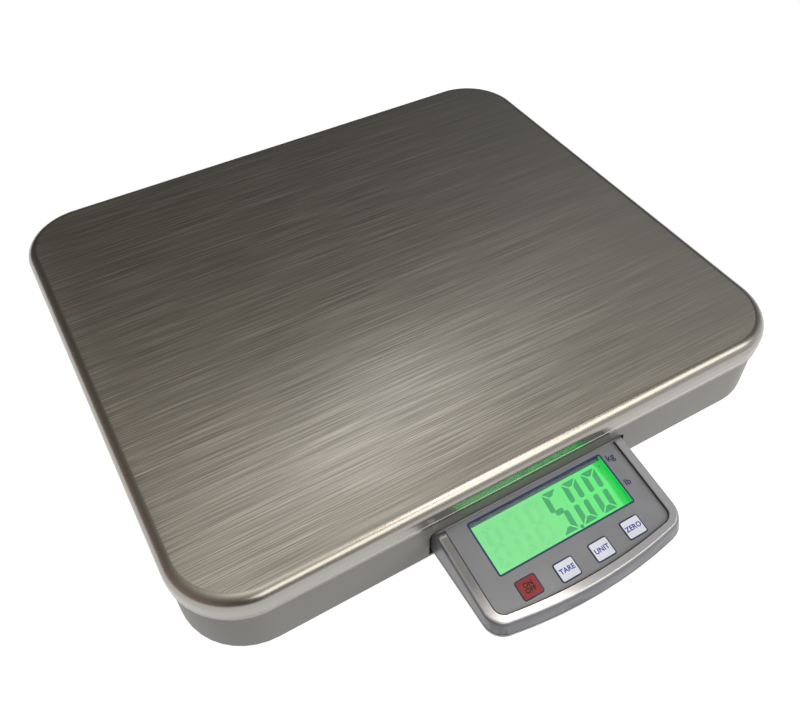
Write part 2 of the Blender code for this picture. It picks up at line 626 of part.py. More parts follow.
def build_head_screws():
    head_top = HEAD_BOTTOM + SCREW_HEAD_HEIGHT
    tip = HEAD_BOTTOM + SCREW_LENGTH - CLEARANCE
    profile = [(0.0, tip), (SCREW_RADIUS, tip), (SCREW_RADIUS, head_top), (SCREW_HEAD_RADIUS, head_top),
               (SCREW_HEAD_RADIUS, HEAD_BOTTOM), (0.0, HEAD_BOTTOM)]
    for index, (x, y) in enumerate(boss_places()):
        turned(f"head_screw_{index + 1}", profile, (x, BASE_FACE + y, 0), BOLT_STEEL, head_axis, 16)


def build_panel():
    middle = LCD_BACK + LCD_HEIGHT / 2
    lens_hole = rounded_rectangle(LCD_WIDTH + 2 * CLEARANCE, LCD_HEIGHT + 2 * CLEARANCE, LCD_BORDER, 3)
    loops = [overlay_loop(0.0), moved(lens_hole, 0, -middle)]
    for _, x, row in key_places():
        hole = rounded_rectangle(KEY_WIDTH + 2 * CLEARANCE, KEY_HEIGHT + 2 * CLEARANCE,
                                 KEY_CORNER + CLEARANCE, 3)
        loops.append(moved(hole, x, -row))
    plate("overlay_panel", loops, OVERLAY_THICKNESS, panel_point(0, 0, OVERLAY_THICKNESS / 2),
          FILM_GREY, panel)
    lens = rounded_rectangle(LCD_WIDTH, LCD_HEIGHT, LCD_BORDER - CLEARANCE, 3)
    plate("lcd_window", [lens], OVERLAY_THICKNESS, panel_point(0, middle, OVERLAY_THICKNESS / 2),
          LENS_CLEAR, panel)
    stack = (("lcd_glass", GLASS_TOP, LCD_GLASS_THICKNESS, GLASS_GREEN),
             ("lcd_backlight", BACKLIGHT_TOP, BACKLIGHT_THICKNESS, BACKLIGHT_GREEN),
             ("main_board", BOARD_TOP, BOARD_THICKNESS, BOARD_GREEN))
    for name, depth, thickness, finish in stack:
        box(name, (LCD_WIDTH + 2 * LCD_BORDER, LCD_HEIGHT + 2 * LCD_BORDER, thickness),
            panel_point(0, middle, depth + thickness / 2), finish, panel)


def build_keys():
    thickness = KEY_RISE + KEY_DEPTH
    for name, x, row in key_places():
        carrier = new_empty("pivot_" + name, panel_point(x, row, 0), panel)
        finish = KEY_RED if name == "on_off" else KEY_PALE
        plate("key_" + name, [rounded_rectangle(KEY_WIDTH, KEY_HEIGHT, KEY_CORNER, 3)], thickness,
              (0, 0, KEY_RISE - thickness / 2), finish, carrier)
        box("switch_" + name, (SWITCH_SIZE, SWITCH_SIZE, SWITCH_HEIGHT),
            panel_point(x, row, SWITCH_TOP + SWITCH_HEIGHT / 2), SWITCH_BLACK, panel)
    length = 3 * KEY_PITCH + KEY_WIDTH
    box("key_board", (length, KEY_BOARD_DEPTH, BOARD_THICKNESS),
        panel_point(0, KEY_ROW - KEY_OUTER_LIFT / 2, KEY_BOARD_TOP + BOARD_THICKNESS / 2), BOARD_GREEN, panel)


def build_battery_bay():
    wall = 2 * BATTERY_WALL
    height = BAY_TOP + BATTERY_WALL - FLOOR_SEAT
    case = box("battery_box", (BAY_LENGTH + wall, BAY_WIDTH + wall, height),
               (BATTERY_X, BATTERY_Y, FLOOR_SEAT + height / 2), BOX_BLACK)
    boolean(case, box("bay_hollow", (BAY_LENGTH, BAY_WIDTH, 2 * (height - BATTERY_WALL)),
                      (BATTERY_X, BATTERY_Y, FLOOR_SEAT)))
    level = FLOOR_SEAT + BATTERY_RADIUS + BATTERY_GAP / 2
    first = BATTERY_Y - (BATTERY_COUNT - 1) / 2 * BATTERY_PITCH
    for index in range(BATTERY_COUNT):
        cylinder(f"battery_cell_{index + 1}", BATTERY_RADIUS, BATTERY_LENGTH,
                 (BATTERY_X, first + index * BATTERY_PITCH, level), CELL_WRAP, axis="X", sides=20)
    reach = (BATTERY_LENGTH + CONTACT_THICKNESS) / 2 + CLEARANCE
    for side, sign in (("left", -1), ("right", 1)):
        box(f"battery_contact_{side}", (CONTACT_THICKNESS, BAY_WIDTH - 2 * CLEARANCE, CONTACT_HEIGHT),
            (BATTERY_X + sign * reach, BATTERY_Y, level), BOLT_STEEL)
    hinge = new_empty("door_hinge", (BATTERY_X, BATTERY_Y + BAY_WIDTH / 2 - SLIP, BASE_BOTTOM), platform)
    door_depth = BAY_WIDTH - 2 * SLIP
    door = box("battery_door", (BAY_LENGTH - 2 * SLIP, door_depth, BASE_SHEET),
               (0, -door_depth / 2, BASE_SHEET / 2), BASE_GREY, hinge)
    drill(door, DOOR_GRIP_RADIUS, BASE_SHEET, (0, DOOR_LEDGE - door_depth, 0), name="door_grip", parent=hinge)


def gland_height():
    return (BASE_BOTTOM + TRAY_LIP) / 2


def build_gland():
    outer = CLEARANCE + GLAND_FLANGE
    profile = [(GLAND_BORE, outer), (GLAND_FLANGE_RADIUS, outer), (GLAND_FLANGE_RADIUS, CLEARANCE),
               (GLAND_RADIUS, CLEARANCE), (GLAND_RADIUS, outer - GLAND_LENGTH),
               (GLAND_BORE, outer - GLAND_LENGTH), (GLAND_BORE, outer)]
    gland = turned("cable_gland", profile, (GLAND_X, -BASE_FACE, gland_height()), RUBBER)
    gland.rotation_euler.x = -math.pi / 2


clear_scene()
parts = new_collection("platform_shipping_scale")
cutters = new_collection("cutters")
platform = new_empty("platform_centre", (0, PLATFORM_Y, 0))
head_axis = new_empty("head_axis", (HEAD_X, 0, 0), platform)
panel = new_empty("panel_plane", (0, BASE_FACE, PANEL_BACK), head_axis, PANEL_TILT)

build_tray()
build_base()
build_feet()
build_cell()
build_bolts()
build_spider()
build_dock()
build_lower_housing()
build_upper_housing()
build_head_screws()
build_panel()
build_keys()
build_battery_bay()
build_gland()
bpy.context.view_layer.update()
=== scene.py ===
# %% [markdown]
# A platform shipping scale, dressed for a picture. The imported model gives every
# solid at its real place, so this lesson only adds surfaces, print and light.
# We load it first, and read the boxes of its parts for the pieces added later.

# %% Load the imported scale
import json
import math

import bmesh
import bpy
from mathutils import Matrix, Vector


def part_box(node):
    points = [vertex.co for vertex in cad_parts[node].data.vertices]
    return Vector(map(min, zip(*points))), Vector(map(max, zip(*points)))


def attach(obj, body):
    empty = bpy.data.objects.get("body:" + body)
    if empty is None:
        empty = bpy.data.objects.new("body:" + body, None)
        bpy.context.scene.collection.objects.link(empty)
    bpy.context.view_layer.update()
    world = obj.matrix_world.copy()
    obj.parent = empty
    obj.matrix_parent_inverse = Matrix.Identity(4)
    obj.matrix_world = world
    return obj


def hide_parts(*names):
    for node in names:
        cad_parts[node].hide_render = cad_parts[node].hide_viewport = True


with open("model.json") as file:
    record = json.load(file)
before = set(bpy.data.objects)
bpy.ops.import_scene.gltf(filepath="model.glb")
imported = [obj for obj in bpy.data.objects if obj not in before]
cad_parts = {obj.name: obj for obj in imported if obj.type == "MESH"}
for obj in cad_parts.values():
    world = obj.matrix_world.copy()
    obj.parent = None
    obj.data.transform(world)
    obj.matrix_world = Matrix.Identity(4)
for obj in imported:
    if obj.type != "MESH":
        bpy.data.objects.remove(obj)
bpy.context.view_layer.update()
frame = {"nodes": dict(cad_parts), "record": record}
scene = bpy.context.scene

# %% [markdown]
# The photographer stood to the left of the scale and looked down on it. The
# place, the aim and the small roll below were fitted to the tray's edges. A
# camera's matrix has its right, up and backward directions as columns, so we
# build those three and hand them over.

# %% Place the camera
CAMERA_AIM = Vector((-0.0288, -0.04335, 0.063))
CAMERA_DISTANCE = 0.5396
CAMERA_AZIMUTH = -0.5170
CAMERA_ELEVATION = 0.8384
CAMERA_ROLL = -0.0117
FOCAL_PIXELS = 831.5
IMAGE_WIDTH = 800
SENSOR_WIDTH = 36.0
NEAREST_SEEN = 0.01


def place_camera():
    back = Vector((math.sin(CAMERA_AZIMUTH) * math.cos(CAMERA_ELEVATION),
                   -math.cos(CAMERA_AZIMUTH) * math.cos(CAMERA_ELEVATION),
                   math.sin(CAMERA_ELEVATION)))
    right = Vector((0, 0, 1)).cross(back).normalized()
    up = back.cross(right)
    rolled_right = right * math.cos(CAMERA_ROLL) + up * math.sin(CAMERA_ROLL)
    rolled_up = up * math.cos(CAMERA_ROLL) - right * math.sin(CAMERA_ROLL)
    data = bpy.data.cameras.new("camera")
    data.sensor_width = SENSOR_WIDTH
    data.lens = FOCAL_PIXELS * SENSOR_WIDTH / IMAGE_WIDTH
    data.clip_start = NEAREST_SEEN
    camera = bpy.data.objects.new("camera", data)
    scene.collection.objects.link(camera)
    turn = Matrix((rolled_right, rolled_up, back)).transposed().to_4x4()
    camera.matrix_world = Matrix.Translation(CAMERA_AIM + back * CAMERA_DISTANCE) @ turn
    scene.camera = camera


place_camera()
print("camera at", scene.camera.location[:], "lens", round(scene.camera.data.lens, 2))

# %% [markdown]
# Every finish below is a small node tree, so a few helpers keep them readable.
# The first starts a material with its shader. The second wires a noise pattern
# that can be stretched along an axis, as brushing and moulding grain need.

# %% Start a finish, and a pattern for it


def new_finish(name, colour, roughness, metallic=0.0):
    material = bpy.data.materials.new(name)
    material.use_nodes = True
    tree = material.node_tree
    shader = tree.nodes["Principled BSDF"]
    shader.inputs["Base Color"].default_value = (*colour, 1.0)
    shader.inputs["Roughness"].default_value = roughness
    shader.inputs["Metallic"].default_value = metallic
    return material, tree, shader


def pattern(tree, scale, detail=4.0, contrast=(0.3, 0.7)):
    """Noise on Object coordinates, stretched along each axis and spread to 0..1."""
    place = tree.nodes.new("ShaderNodeTexCoord")
    mapping = tree.nodes.new("ShaderNodeMapping")
    mapping.inputs["Scale"].default_value = scale
    noise = tree.nodes.new("ShaderNodeTexNoise")
    noise.inputs["Scale"].default_value = 1.0
    noise.inputs["Detail"].default_value = detail
    spread = tree.nodes.new("ShaderNodeMapRange")
    spread.inputs["From Min"].default_value = contrast[0]
    spread.inputs["From Max"].default_value = contrast[1]
    tree.links.new(place.outputs["Object"], mapping.inputs["Vector"])
    tree.links.new(mapping.outputs["Vector"], noise.inputs["Vector"])
    tree.links.new(noise.outputs["Fac"], spread.inputs["Value"])
    return spread.outputs["Result"]


print("helpers", new_finish.__name__, pattern.__name__)

# %% [markdown]
# A pattern is only a number between 0 and 1. These helpers turn such a number
# into a colour, stretch it to another range, multiply it by another, read it
# from a place on the piece, or use it as a height that bends the light.

# %% Shape a value


def ramp(tree, value, stops):
    node = tree.nodes.new("ShaderNodeValToRGB")
    elements = node.color_ramp.elements
    while len(elements) < len(stops):
        elements.new(0.5)
    for element, (position, colour) in zip(elements, stops):
        element.position = position
        element.color = (*colour, 1.0)
    tree.links.new(value, node.inputs["Fac"])
    return node.outputs["Color"]


def span(tree, value, low, high, start, end):
    node = tree.nodes.new("ShaderNodeMapRange")
    node.inputs["From Min"].default_value = low
    node.inputs["From Max"].default_value = high
    node.inputs["To Min"].default_value = start
    node.inputs["To Max"].default_value = end
    tree.links.new(value, node.inputs["Value"])
    return node.outputs["Result"]


def product(tree, first, second):
    node = tree.nodes.new("ShaderNodeMath")
    node.operation = "MULTIPLY"
    tree.links.new(first, node.inputs[0])
    tree.links.new(second, node.inputs[1])
    return node.outputs["Value"]


def axis_value(tree, axis):
    place = tree.nodes.new("ShaderNodeTexCoord")
    split = tree.nodes.new("ShaderNodeSeparateXYZ")
    tree.links.new(place.outputs["Object"], split.inputs["Vector"])
    return split.outputs[axis]


def add_bump(tree, shader, height, strength, distance):
    bump = tree.nodes.new("ShaderNodeBump")
    bump.inputs["Strength"].default_value = strength
    bump.inputs["Distance"].default_value = distance
    tree.links.new(height, bump.inputs["Height"])
    tree.links.new(bump.outputs["Normal"], shader.inputs["Normal"])


print("helpers", *[tool.__name__ for tool in (ramp, span, product, axis_value, add_bump)])

# %% [markdown]
# The picture is a product shot on pure white. A white floor that glows gives
# that without a lamp of its own, and throws pale light up the skirt of the tray
# and under the base. It belongs to the stage and not to the scale.

# %% Lay the floor
FLOOR_SIZE = 12.0
FLOOR_GREY = (0.25, 0.25, 0.25)
FLOOR_ROUGHNESS = 0.9
FLOOR_GLOW = 0.95
WHITE = (1.0, 1.0, 1.0, 1.0)


def build_floor():
    bm = bmesh.new()
    bmesh.ops.create_grid(bm, x_segments=1, y_segments=1, size=FLOOR_SIZE / 2)
    mesh = bpy.data.meshes.new("floor")
    bm.to_mesh(mesh)
    bm.free()
    floor = bpy.data.objects.new("floor", mesh)
    scene.collection.objects.link(floor)
    material, _, shader = new_finish("floor_white", FLOOR_GREY, FLOOR_ROUGHNESS)
    shader.inputs["Specular IOR Level"].default_value = 0.0
    shader.inputs["Emission Color"].default_value = WHITE
    shader.inputs["Emission Strength"].default_value = FLOOR_GLOW
    mesh.materials.append(material)


build_floor()
print("floor", FLOOR_SIZE, "m wide")

# %% [markdown]
# Brushed steel shows what it mirrors, so the sky is graded, in three ramps that
# are added up. By height it is darkest low down and brightest overhead. From
# side to side it has a warm glow at the far left and a paler end at the right.
# Its front right corner is paler too. Rays that come straight from the camera,
# past the floor's edge, see plain white instead, like a paper roll.

# %% Grade the sky
SKY_HEIGHT_STOPS = ((0.30, (0.072, 0.068, 0.060)),
                    (0.62, (0.098, 0.093, 0.082)),
                    (0.84, (0.35, 0.325, 0.275)),
                    (0.96, (0.80, 0.77, 0.68)),
                    (1.00, (1.8, 1.75, 1.6)))
SKY_SIDE_STOPS = ((0.0, (0.34, 0.25, 0.21)),
                  (0.30, (0.0, 0.0, 0.0)),
                  (0.60, (0.0, 0.0, 0.0)),
                  (0.90, (0.022, 0.032, 0.050)),
                  (0.97, (0.28, 0.29, 0.31)))
SKY_CORNER_STOPS = ((0.80, (0.0, 0.0, 0.0)),
                    (0.95, (0.62, 0.61, 0.58)))


def add_colours(tree, first, second):
    node = tree.nodes.new("ShaderNodeMix")
    node.data_type = "RGBA"
    node.blend_type = "ADD"
    node.inputs["Factor"].default_value = 1.0
    colours = [socket for socket in node.inputs if socket.type == "RGBA"]
    tree.links.new(first, colours[0])
    tree.links.new(second, colours[1])
    return [socket for socket in node.outputs if socket.type == "RGBA"][0]


def graded_colour(tree):
    """The sum of the three ramps, read from the direction of the ray."""
    place = tree.nodes.new("ShaderNodeTexCoord")
    split = tree.nodes.new("ShaderNodeSeparateXYZ")
    tree.links.new(place.outputs["Generated"], split.inputs["Vector"])
    across = span(tree, split.outputs["X"], -1.0, 1.0, 0.0, 1.0)
    corner = tree.nodes.new("ShaderNodeMath")
    corner.operation = "SUBTRACT"
    tree.links.new(split.outputs["X"], corner.inputs[0])
    tree.links.new(split.outputs["Y"], corner.inputs[1])
    towards = span(tree, corner.outputs["Value"], -math.sqrt(2), math.sqrt(2), 0.0, 1.0)
    overhead = ramp(tree, split.outputs["Z"], SKY_HEIGHT_STOPS)
    with_sides = add_colours(tree, overhead, ramp(tree, across, SKY_SIDE_STOPS))
    return add_colours(tree, with_sides, ramp(tree, towards, SKY_CORNER_STOPS))


def build_sky():
    world = bpy.data.worlds.new("studio")
    scene.world = world
    world.use_nodes = True
    tree = world.node_tree
    room = tree.nodes["Background"]
    tree.links.new(graded_colour(tree), room.inputs["Color"])
    backdrop = tree.nodes.new("ShaderNodeBackground")
    backdrop.inputs["Color"].default_value = WHITE
    path = tree.nodes.new("ShaderNodeLightPath")
    choose = tree.nodes.new("ShaderNodeMixShader")
    tree.links.new(path.outputs["Is Camera Ray"], choose.inputs["Fac"])
    tree.links.new(room.outputs["Background"], choose.inputs[1])
    tree.links.new(backdrop.outputs["Background"], choose.inputs[2])
    tree.links.new(choose.outputs["Shader"], tree.nodes["World Output"].inputs["Surface"])


build_sky()
scene.view_settings.view_transform = "Standard"
print("sky", scene.world.name)

# %% [markdown]
# Four lamps add what the sky can't. A wide fill at the front right lights the
# walls and is hidden from reflections, because the steel would show it as a
# patch. A small warm lamp hangs nearly overhead: the flat rim of the display
# mirrors it at its front left corner. A weak box behind the scale lays a soft
# shine on the tray. A wide box at the front does the reverse of the fill: only
# reflections see it, and it draws the bright line along the tray's front edge.

# %% Hang the lamps


def area_light(name, place, size, power, colour=(1, 1, 1), height=None):
    data = bpy.data.lights.new(name, "AREA")
    data.size = size
    if height:
        data.shape = "RECTANGLE"
        data.size_y = height
    data.energy = power
    data.color = colour
    light = bpy.data.objects.new(name, data)
    light.location = place
    light.rotation_euler = (CAMERA_AIM - Vector(place)).to_track_quat("-Z", "Y").to_euler()
    scene.collection.objects.link(light)
    return light


front_fill = area_light("front_fill", place=(1.5, -1.4, 0.60), size=1.0, power=30)
front_fill.visible_glossy = False
area_light("ceiling_lamp", place=(0.36, -0.370, 1.15), size=0.32, power=2.0,
           colour=(1.0, 0.90, 0.83))
area_light("back_box", place=(0.27, 0.61, 1.20), size=0.30, power=0.35)
front_box = area_light("front_box", place=(0.34, -0.78, 0.86), size=1.5, power=6.0,
                       colour=(1.0, 0.97, 0.88), height=0.45)
front_box.visible_diffuse = False
print("lamps", [light.name for light in bpy.data.lights])

# %% [markdown]
# The display face slopes down to the front. All its print is laid out flat in
# the panel's own axes, x across, y towards the back and z out of the face, and
# one matrix then lifts it into place. The slope is the one it was pressed with;
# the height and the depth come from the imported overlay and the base.

# %% The panel's own axes
PANEL_TILT = math.radians(9.3)
OVERLAY_BACK_MARGIN = 0.0010
base_low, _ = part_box("base_pan")
overlay_low, overlay_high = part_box("overlay_panel")
tray_low, tray_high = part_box("weighing_tray")
panel_back = overlay_high[2] + OVERLAY_BACK_MARGIN * math.sin(PANEL_TILT)
HEAD_X = (overlay_low[0] + overlay_high[0]) / 2
PANEL = (Matrix.Translation((HEAD_X, base_low[1], panel_back))
         @ Matrix.Rotation(PANEL_TILT, 4, "X"))
TRAY_TOP = tray_high[2]
print("panel back height", round(panel_back, 5), "tray top", round(TRAY_TOP, 5))

# %% [markdown]
# New pieces share the same last steps: the shape is moved into the scale's
# frame, shaded smooth except at real corners, and set to ride on a body. A
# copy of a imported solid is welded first, because its triangles come loose.

# %% Settle a piece
SMOOTH_ANGLE = math.radians(30)
WELD_DISTANCE = 0.000001


def settle(bm, name, body, materials, place=None, slot=None, replaces=()):
    if place is not None:
        bmesh.ops.transform(bm, matrix=place, verts=bm.verts)
    mesh = bpy.data.meshes.new(name)
    bm.to_mesh(mesh)
    bm.free()
    mesh.shade_smooth()
    mesh.set_sharp_from_angle(angle=SMOOTH_ANGLE)
    for material in materials:
        mesh.materials.append(material)
    piece = bpy.data.objects.new(name, mesh)
    scene.collection.objects.link(piece)
    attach(piece, body)
    if replaces:
        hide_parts(*replaces)
    return piece


def smooth_copy(node, body, material, slot):
    """A welded copy of a solid, so that its round corners can be shaded smooth."""
    bm = bmesh.new()
    bm.from_mesh(frame["nodes"][node].data)
    bmesh.ops.remove_doubles(bm, verts=bm.verts, dist=WELD_DISTANCE)
    for face in bm.faces:
        face.material_index = 0
    piece = settle(bm, node + "_skin", body, [material], slot=slot, replaces=[node])
    normals = piece.modifiers.new("flat faces stay flat", "WEIGHTED_NORMAL")
    normals.keep_sharp = True
    return piece


print("helpers", settle.__name__, smooth_copy.__name__)

# %% [markdown]
# Tray, keys, glass and window are all slabs with round upright corners. A cube
# is scaled to size and only its four upright edges are bevelled, which keeps
# the top and the bottom flat.

# %% Cut a rounded slab


def rounded_slab(bm, width, depth, bottom, top, corner, segments=6):
    """A slab with upright rounded corners, centred on the origin."""
    verts = bmesh.ops.create_cube(bm, size=1.0)["verts"]
    bmesh.ops.scale(bm, vec=(width, depth, top - bottom), verts=verts)
    bmesh.ops.translate(bm, vec=(0, 0, (top + bottom) / 2), verts=verts)
    half_height = (top - bottom) / 2
    upright = [e for e in bm.edges if abs(e.verts[0].co.z - e.verts[1].co.z) > half_height]
    bmesh.ops.bevel(bm, geom=upright, offset=corner, segments=segments, profile=0.5,
                    affect="EDGES", material=-1)


print("helper", rounded_slab.__name__)

# %% [markdown]
# The tray is brushed stainless. The brush ran from side to side on the flat
# top, which leaves fine streaks and a sheen that is drawn out across them; the
# rounded edge and the skirt were pressed and polished afterwards, so they are
# smoother. One material does both: a mask on height fades the grain out at the
# edge, and a UV map whose U runs along X tells the shader the brush direction.
# Towards the right the streaks calm down to an even tone.

# %% Brushed stainless finish
STEEL = (0.60, 0.58, 0.55)
# The first stop is the colour of the rounded edge and the skirt: painted shade, darker than the
# brushed top.
STEEL_STOPS = ((0.0, (0.37, 0.355, 0.33)),
               (0.2, (0.40, 0.385, 0.355)),
               (0.5, (0.58, 0.56, 0.52)),
               (1.0, (0.92, 0.89, 0.83)))
MASK_DEPTH = (0.00006, 0.00001)
FINE_BRUSH = (16.0, 1300.0, 1300.0)
FINE_CONTRAST = (0.35, 0.65)
WIDE_BRUSH = (7.0, 420.0, 420.0)
WIDE_CONTRAST = (0.30, 0.70)
STREAK_RANGE = (0.45, 1.0)
GRAIN_RANGE = (0.25, 1.0)
WEAR_RANGE = (0.8, 1.0)
BRUSHED_DRAW = 0.75
POLISHED_ROUGHNESS = 0.26
BRUSHED_ROUGHNESS = 0.34
EVEN_TONE = 0.50
CALM_REACH = (0.0, 0.19)
CALM_SHARE = 0.35
BRUSH_DEPTH = 0.00001
BRUSH_BUMP = 0.20


def calmed(tree, grain):
    """The grain, mixed with one even tone towards the right of the tray."""
    mix = tree.nodes.new("ShaderNodeMix")
    mix.inputs["A"].default_value = EVEN_TONE
    tree.links.new(grain, mix.inputs["B"])
    share = span(tree, axis_value(tree, "X"), *CALM_REACH, 1.0, CALM_SHARE)
    tree.links.new(share, mix.inputs["Factor"])
    return mix.outputs["Result"]


def brushed_stainless():
    material, tree, shader = new_finish("brushed_stainless", STEEL, BRUSHED_ROUGHNESS, metallic=1.0)
    edge, flat = [TRAY_TOP - depth for depth in MASK_DEPTH]
    mask = span(tree, axis_value(tree, "Z"), edge, flat, 0.0, 1.0)
    tree.links.new(span(tree, mask, 0, 1, 0.0, BRUSHED_DRAW), shader.inputs["Anisotropic"])
    fine = pattern(tree, FINE_BRUSH, detail=2.0, contrast=FINE_CONTRAST)
    streaks = pattern(tree, WIDE_BRUSH, detail=4.0, contrast=WIDE_CONTRAST)
    both = product(tree, fine, span(tree, streaks, 0, 1, *STREAK_RANGE))
    grain = span(tree, both, 0, 1, *GRAIN_RANGE)
    # Where the mask is 0, on the rounded edge and the skirt, the tone is 0 and the steel takes that
    # darker colour as painted shade.
    tone = product(tree, mask, calmed(tree, grain))
    tree.links.new(ramp(tree, tone, STEEL_STOPS), shader.inputs["Base Color"])
    worn = product(tree, mask, span(tree, streaks, 0, 1, *WEAR_RANGE))
    tree.links.new(span(tree, worn, 0, 1, POLISHED_ROUGHNESS, BRUSHED_ROUGHNESS),
                   shader.inputs["Roughness"])
    add_bump(tree, shader, product(tree, mask, fine), BRUSH_BUMP, BRUSH_DEPTH)
    tangent = tree.nodes.new("ShaderNodeTangent")
    tangent.direction_type = "UV_MAP"
    tangent.uv_map = "brush"
    tree.links.new(tangent.outputs["Tangent"], shader.inputs["Tangent"])
    return material


stainless = brushed_stainless()
print("finish", stainless.name)

# %% [markdown]
# The tray itself is one pressed sheet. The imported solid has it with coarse
# corners; here the same box is bevelled finely, so that highlights run round
# the corners without a break. A crease runs round the skirt above its lowest
# band, which is set in a hair, and Solidify gives the sheet its thickness.

# %% Press the tray
TRAY_CORNER = 0.045
TRAY_CORNER_STEPS = 28
TRAY_EDGE = 0.0080
TRAY_EDGE_STEPS = 10
TRAY_SHEET = 0.0012
BAND_HEIGHT = 0.0034
GROOVE_HALF = 0.0005
GROOVE_DEPTH = 0.0012
BAND_RECESS = 0.0003
LEVEL_WITHIN = 0.00001
FACING = 0.9


def crease_skirt(bm, width, depth):
    """Three cuts round the skirt: the middle one is drawn in deep, and the band below a hair."""
    groove = tray_low[2] + BAND_HEIGHT
    for height in (groove - GROOVE_HALF, groove, groove + GROOVE_HALF):
        bmesh.ops.bisect_plane(bm, geom=bm.verts[:] + bm.edges[:] + bm.faces[:],
                               plane_co=(0, 0, height), plane_no=(0, 0, 1))
    band = [v for v in bm.verts if v.co.z < groove - GROOVE_HALF / 2]
    crease = [v for v in bm.verts if abs(v.co.z - groove) < GROOVE_HALF / 2]
    for verts, inset in ((band, BAND_RECESS), (crease, GROOVE_DEPTH)):
        bmesh.ops.scale(bm, vec=(1 - 2 * inset / width, 1 - 2 * inset / depth, 1), verts=verts)


def build_tray():
    width, depth, _ = [high - low for low, high in zip(tray_low, tray_high)]
    centre_x, centre_y, _ = [(high + low) / 2 for low, high in zip(tray_low, tray_high)]
    bm = bmesh.new()
    rounded_slab(bm, width, depth, tray_low[2], tray_high[2], TRAY_CORNER, TRAY_CORNER_STEPS)
    rim = [e for e in bm.edges if all(v.co.z > TRAY_TOP - LEVEL_WITHIN for v in e.verts)]
    bmesh.ops.bevel(bm, geom=rim, offset=TRAY_EDGE, segments=TRAY_EDGE_STEPS, profile=0.5,
                    affect="EDGES", material=-1)
    bottom = [f for f in bm.faces if f.normal.z < -FACING]
    bmesh.ops.delete(bm, geom=bottom, context="FACES")
    crease_skirt(bm, width, depth)
    uv = bm.loops.layers.uv.new("brush")
    for face in bm.faces:
        for loop in face.loops:
            loop[uv].uv = (loop.vert.co.x, loop.vert.co.y + loop.vert.co.z)
    tray = settle(bm, "tray_sheet", "tray", [stainless],
                  Matrix.Translation((centre_x, centre_y, 0)), "stainless", ["weighing_tray"])
    sheet = tray.modifiers.new("sheet", "SOLIDIFY")
    sheet.thickness = TRAY_SHEET
    sheet.offset = -1.0
    return tray


tray_piece = build_tray()
print("tray faces", len(tray_piece.data.polygons))

# %% [markdown]
# The base is pressed steel with a plain grey powder coat. Powder coat is not
# smooth: under a raking light it has a faint orange peel, which a fine noise
# bump gives. A wide, weak noise keeps the grey from being one flat value.

# %% Coat the base
GRAIN_DEPTH = 0.00003
CLOUD_SCALE = (14.0, 14.0, 14.0)
CLOUD_SHADE = 0.93
PEEL_SCALE = (2200.0, 2200.0, 2200.0)
PEEL_BUMP = 0.10


def powder_coat(name, colour, roughness, metallic=0.0):
    material, tree, shader = new_finish(name, colour, roughness, metallic)
    cloud = pattern(tree, CLOUD_SCALE, detail=3.0)
    darker = [c * CLOUD_SHADE for c in colour]
    tree.links.new(ramp(tree, cloud, ((0.0, darker), (1.0, colour))), shader.inputs["Base Color"])
    add_bump(tree, shader, pattern(tree, PEEL_SCALE, detail=2.0), PEEL_BUMP, GRAIN_DEPTH)
    return material


base_coat = powder_coat("base_powder_coat", (0.157, 0.153, 0.138), roughness=0.42, metallic=0.35)
smooth_copy("base_pan", "base", base_coat, "base_grey")
print("base coated with", base_coat.name)

# %% [markdown]
# The head's two mouldings are satin plastic with a spark-eroded grain. The
# upper one is a purple grey, the lower one paler. The grain is a bump too fine
# to see as dots but enough to break up a highlight.

# %% Mould the head
MOTTLE_SCALE = (60.0, 60.0, 60.0)
MOTTLE_SHADE = 0.90


def moulded(name, colour, roughness, grain=900.0, strength=0.18):
    material, tree, shader = new_finish(name, colour, roughness)
    mottle = pattern(tree, MOTTLE_SCALE)
    darker = [c * MOTTLE_SHADE for c in colour]
    tree.links.new(ramp(tree, mottle, ((0.0, darker), (1.0, colour))), shader.inputs["Base Color"])
    height = pattern(tree, (grain, grain, grain), detail=2.0)
    add_bump(tree, shader, height, strength, GRAIN_DEPTH)
    return material


head_plastic = moulded("head_purple_grey", (0.160, 0.162, 0.184), roughness=0.34)
head_under = moulded("head_pale_grey", (0.34, 0.33, 0.315), roughness=0.45)
smooth_copy("head_upper_housing", "display_head", head_plastic, "head_grey")
smooth_copy("head_lower_housing", "display_head", head_under, "head_pale")
print("head moulded in", head_plastic.name, "and", head_under.name)

# %% [markdown]
# Rim, groove and case seam all follow the head's outline in plan: a straight
# side, a round corner and a bowed front. It is worked out once, for any size,
# as an open row of points. A sweep then bridges several such rows into a closed
# skin, so that a section is only a short list of sizes and heights.

# %% Follow the head's outline
RIM_BACK = 0.0012


def head_outline(half, reach, radius, bow, arc_steps=12):
    """Right side, round front corner, bowed front and left side, as points in plan."""
    turn = math.pi / 2 - math.atan(2 * bow / half)
    end_x = half - radius + radius * math.cos(turn)
    centre_y = -reach + bow * (end_x / half) ** 2 + radius * math.sin(turn)
    right = [(half, -RIM_BACK)]
    for step in range(arc_steps + 1):
        angle = -turn * step / arc_steps
        right.append((half - radius + radius * math.cos(angle), centre_y + radius * math.sin(angle)))
    for step in range(1, arc_steps):
        x = end_x * (1 - step / arc_steps)
        right.append((x, -reach + bow * (x / half) ** 2))
    return right + [(0.0, -reach)] + [(-x, y) for x, y in reversed(right)]


def sweep(bm, rows):
    """A closed skin through open rows of equally many points, its two ends filled."""
    chains = []
    for points in rows:
        verts = [bm.verts.new(point) for point in points]
        chains.append([bm.edges.new(pair) for pair in zip(verts, verts[1:])])
    for chain, following in zip(chains, chains[1:] + chains[:1]):
        bmesh.ops.bridge_loops(bm, edges=chain + following)
    bmesh.ops.holes_fill(bm, edges=[e for e in bm.edges if e.is_boundary])
    bmesh.ops.recalc_face_normals(bm, faces=bm.faces)


overlay_half = (overlay_high[0] - overlay_low[0]) / 2
overlay_reach = (base_low[1] - overlay_low[1]) / math.cos(PANEL_TILT)
print("film", round(overlay_half * 2, 4), "by", round(overlay_reach, 4))
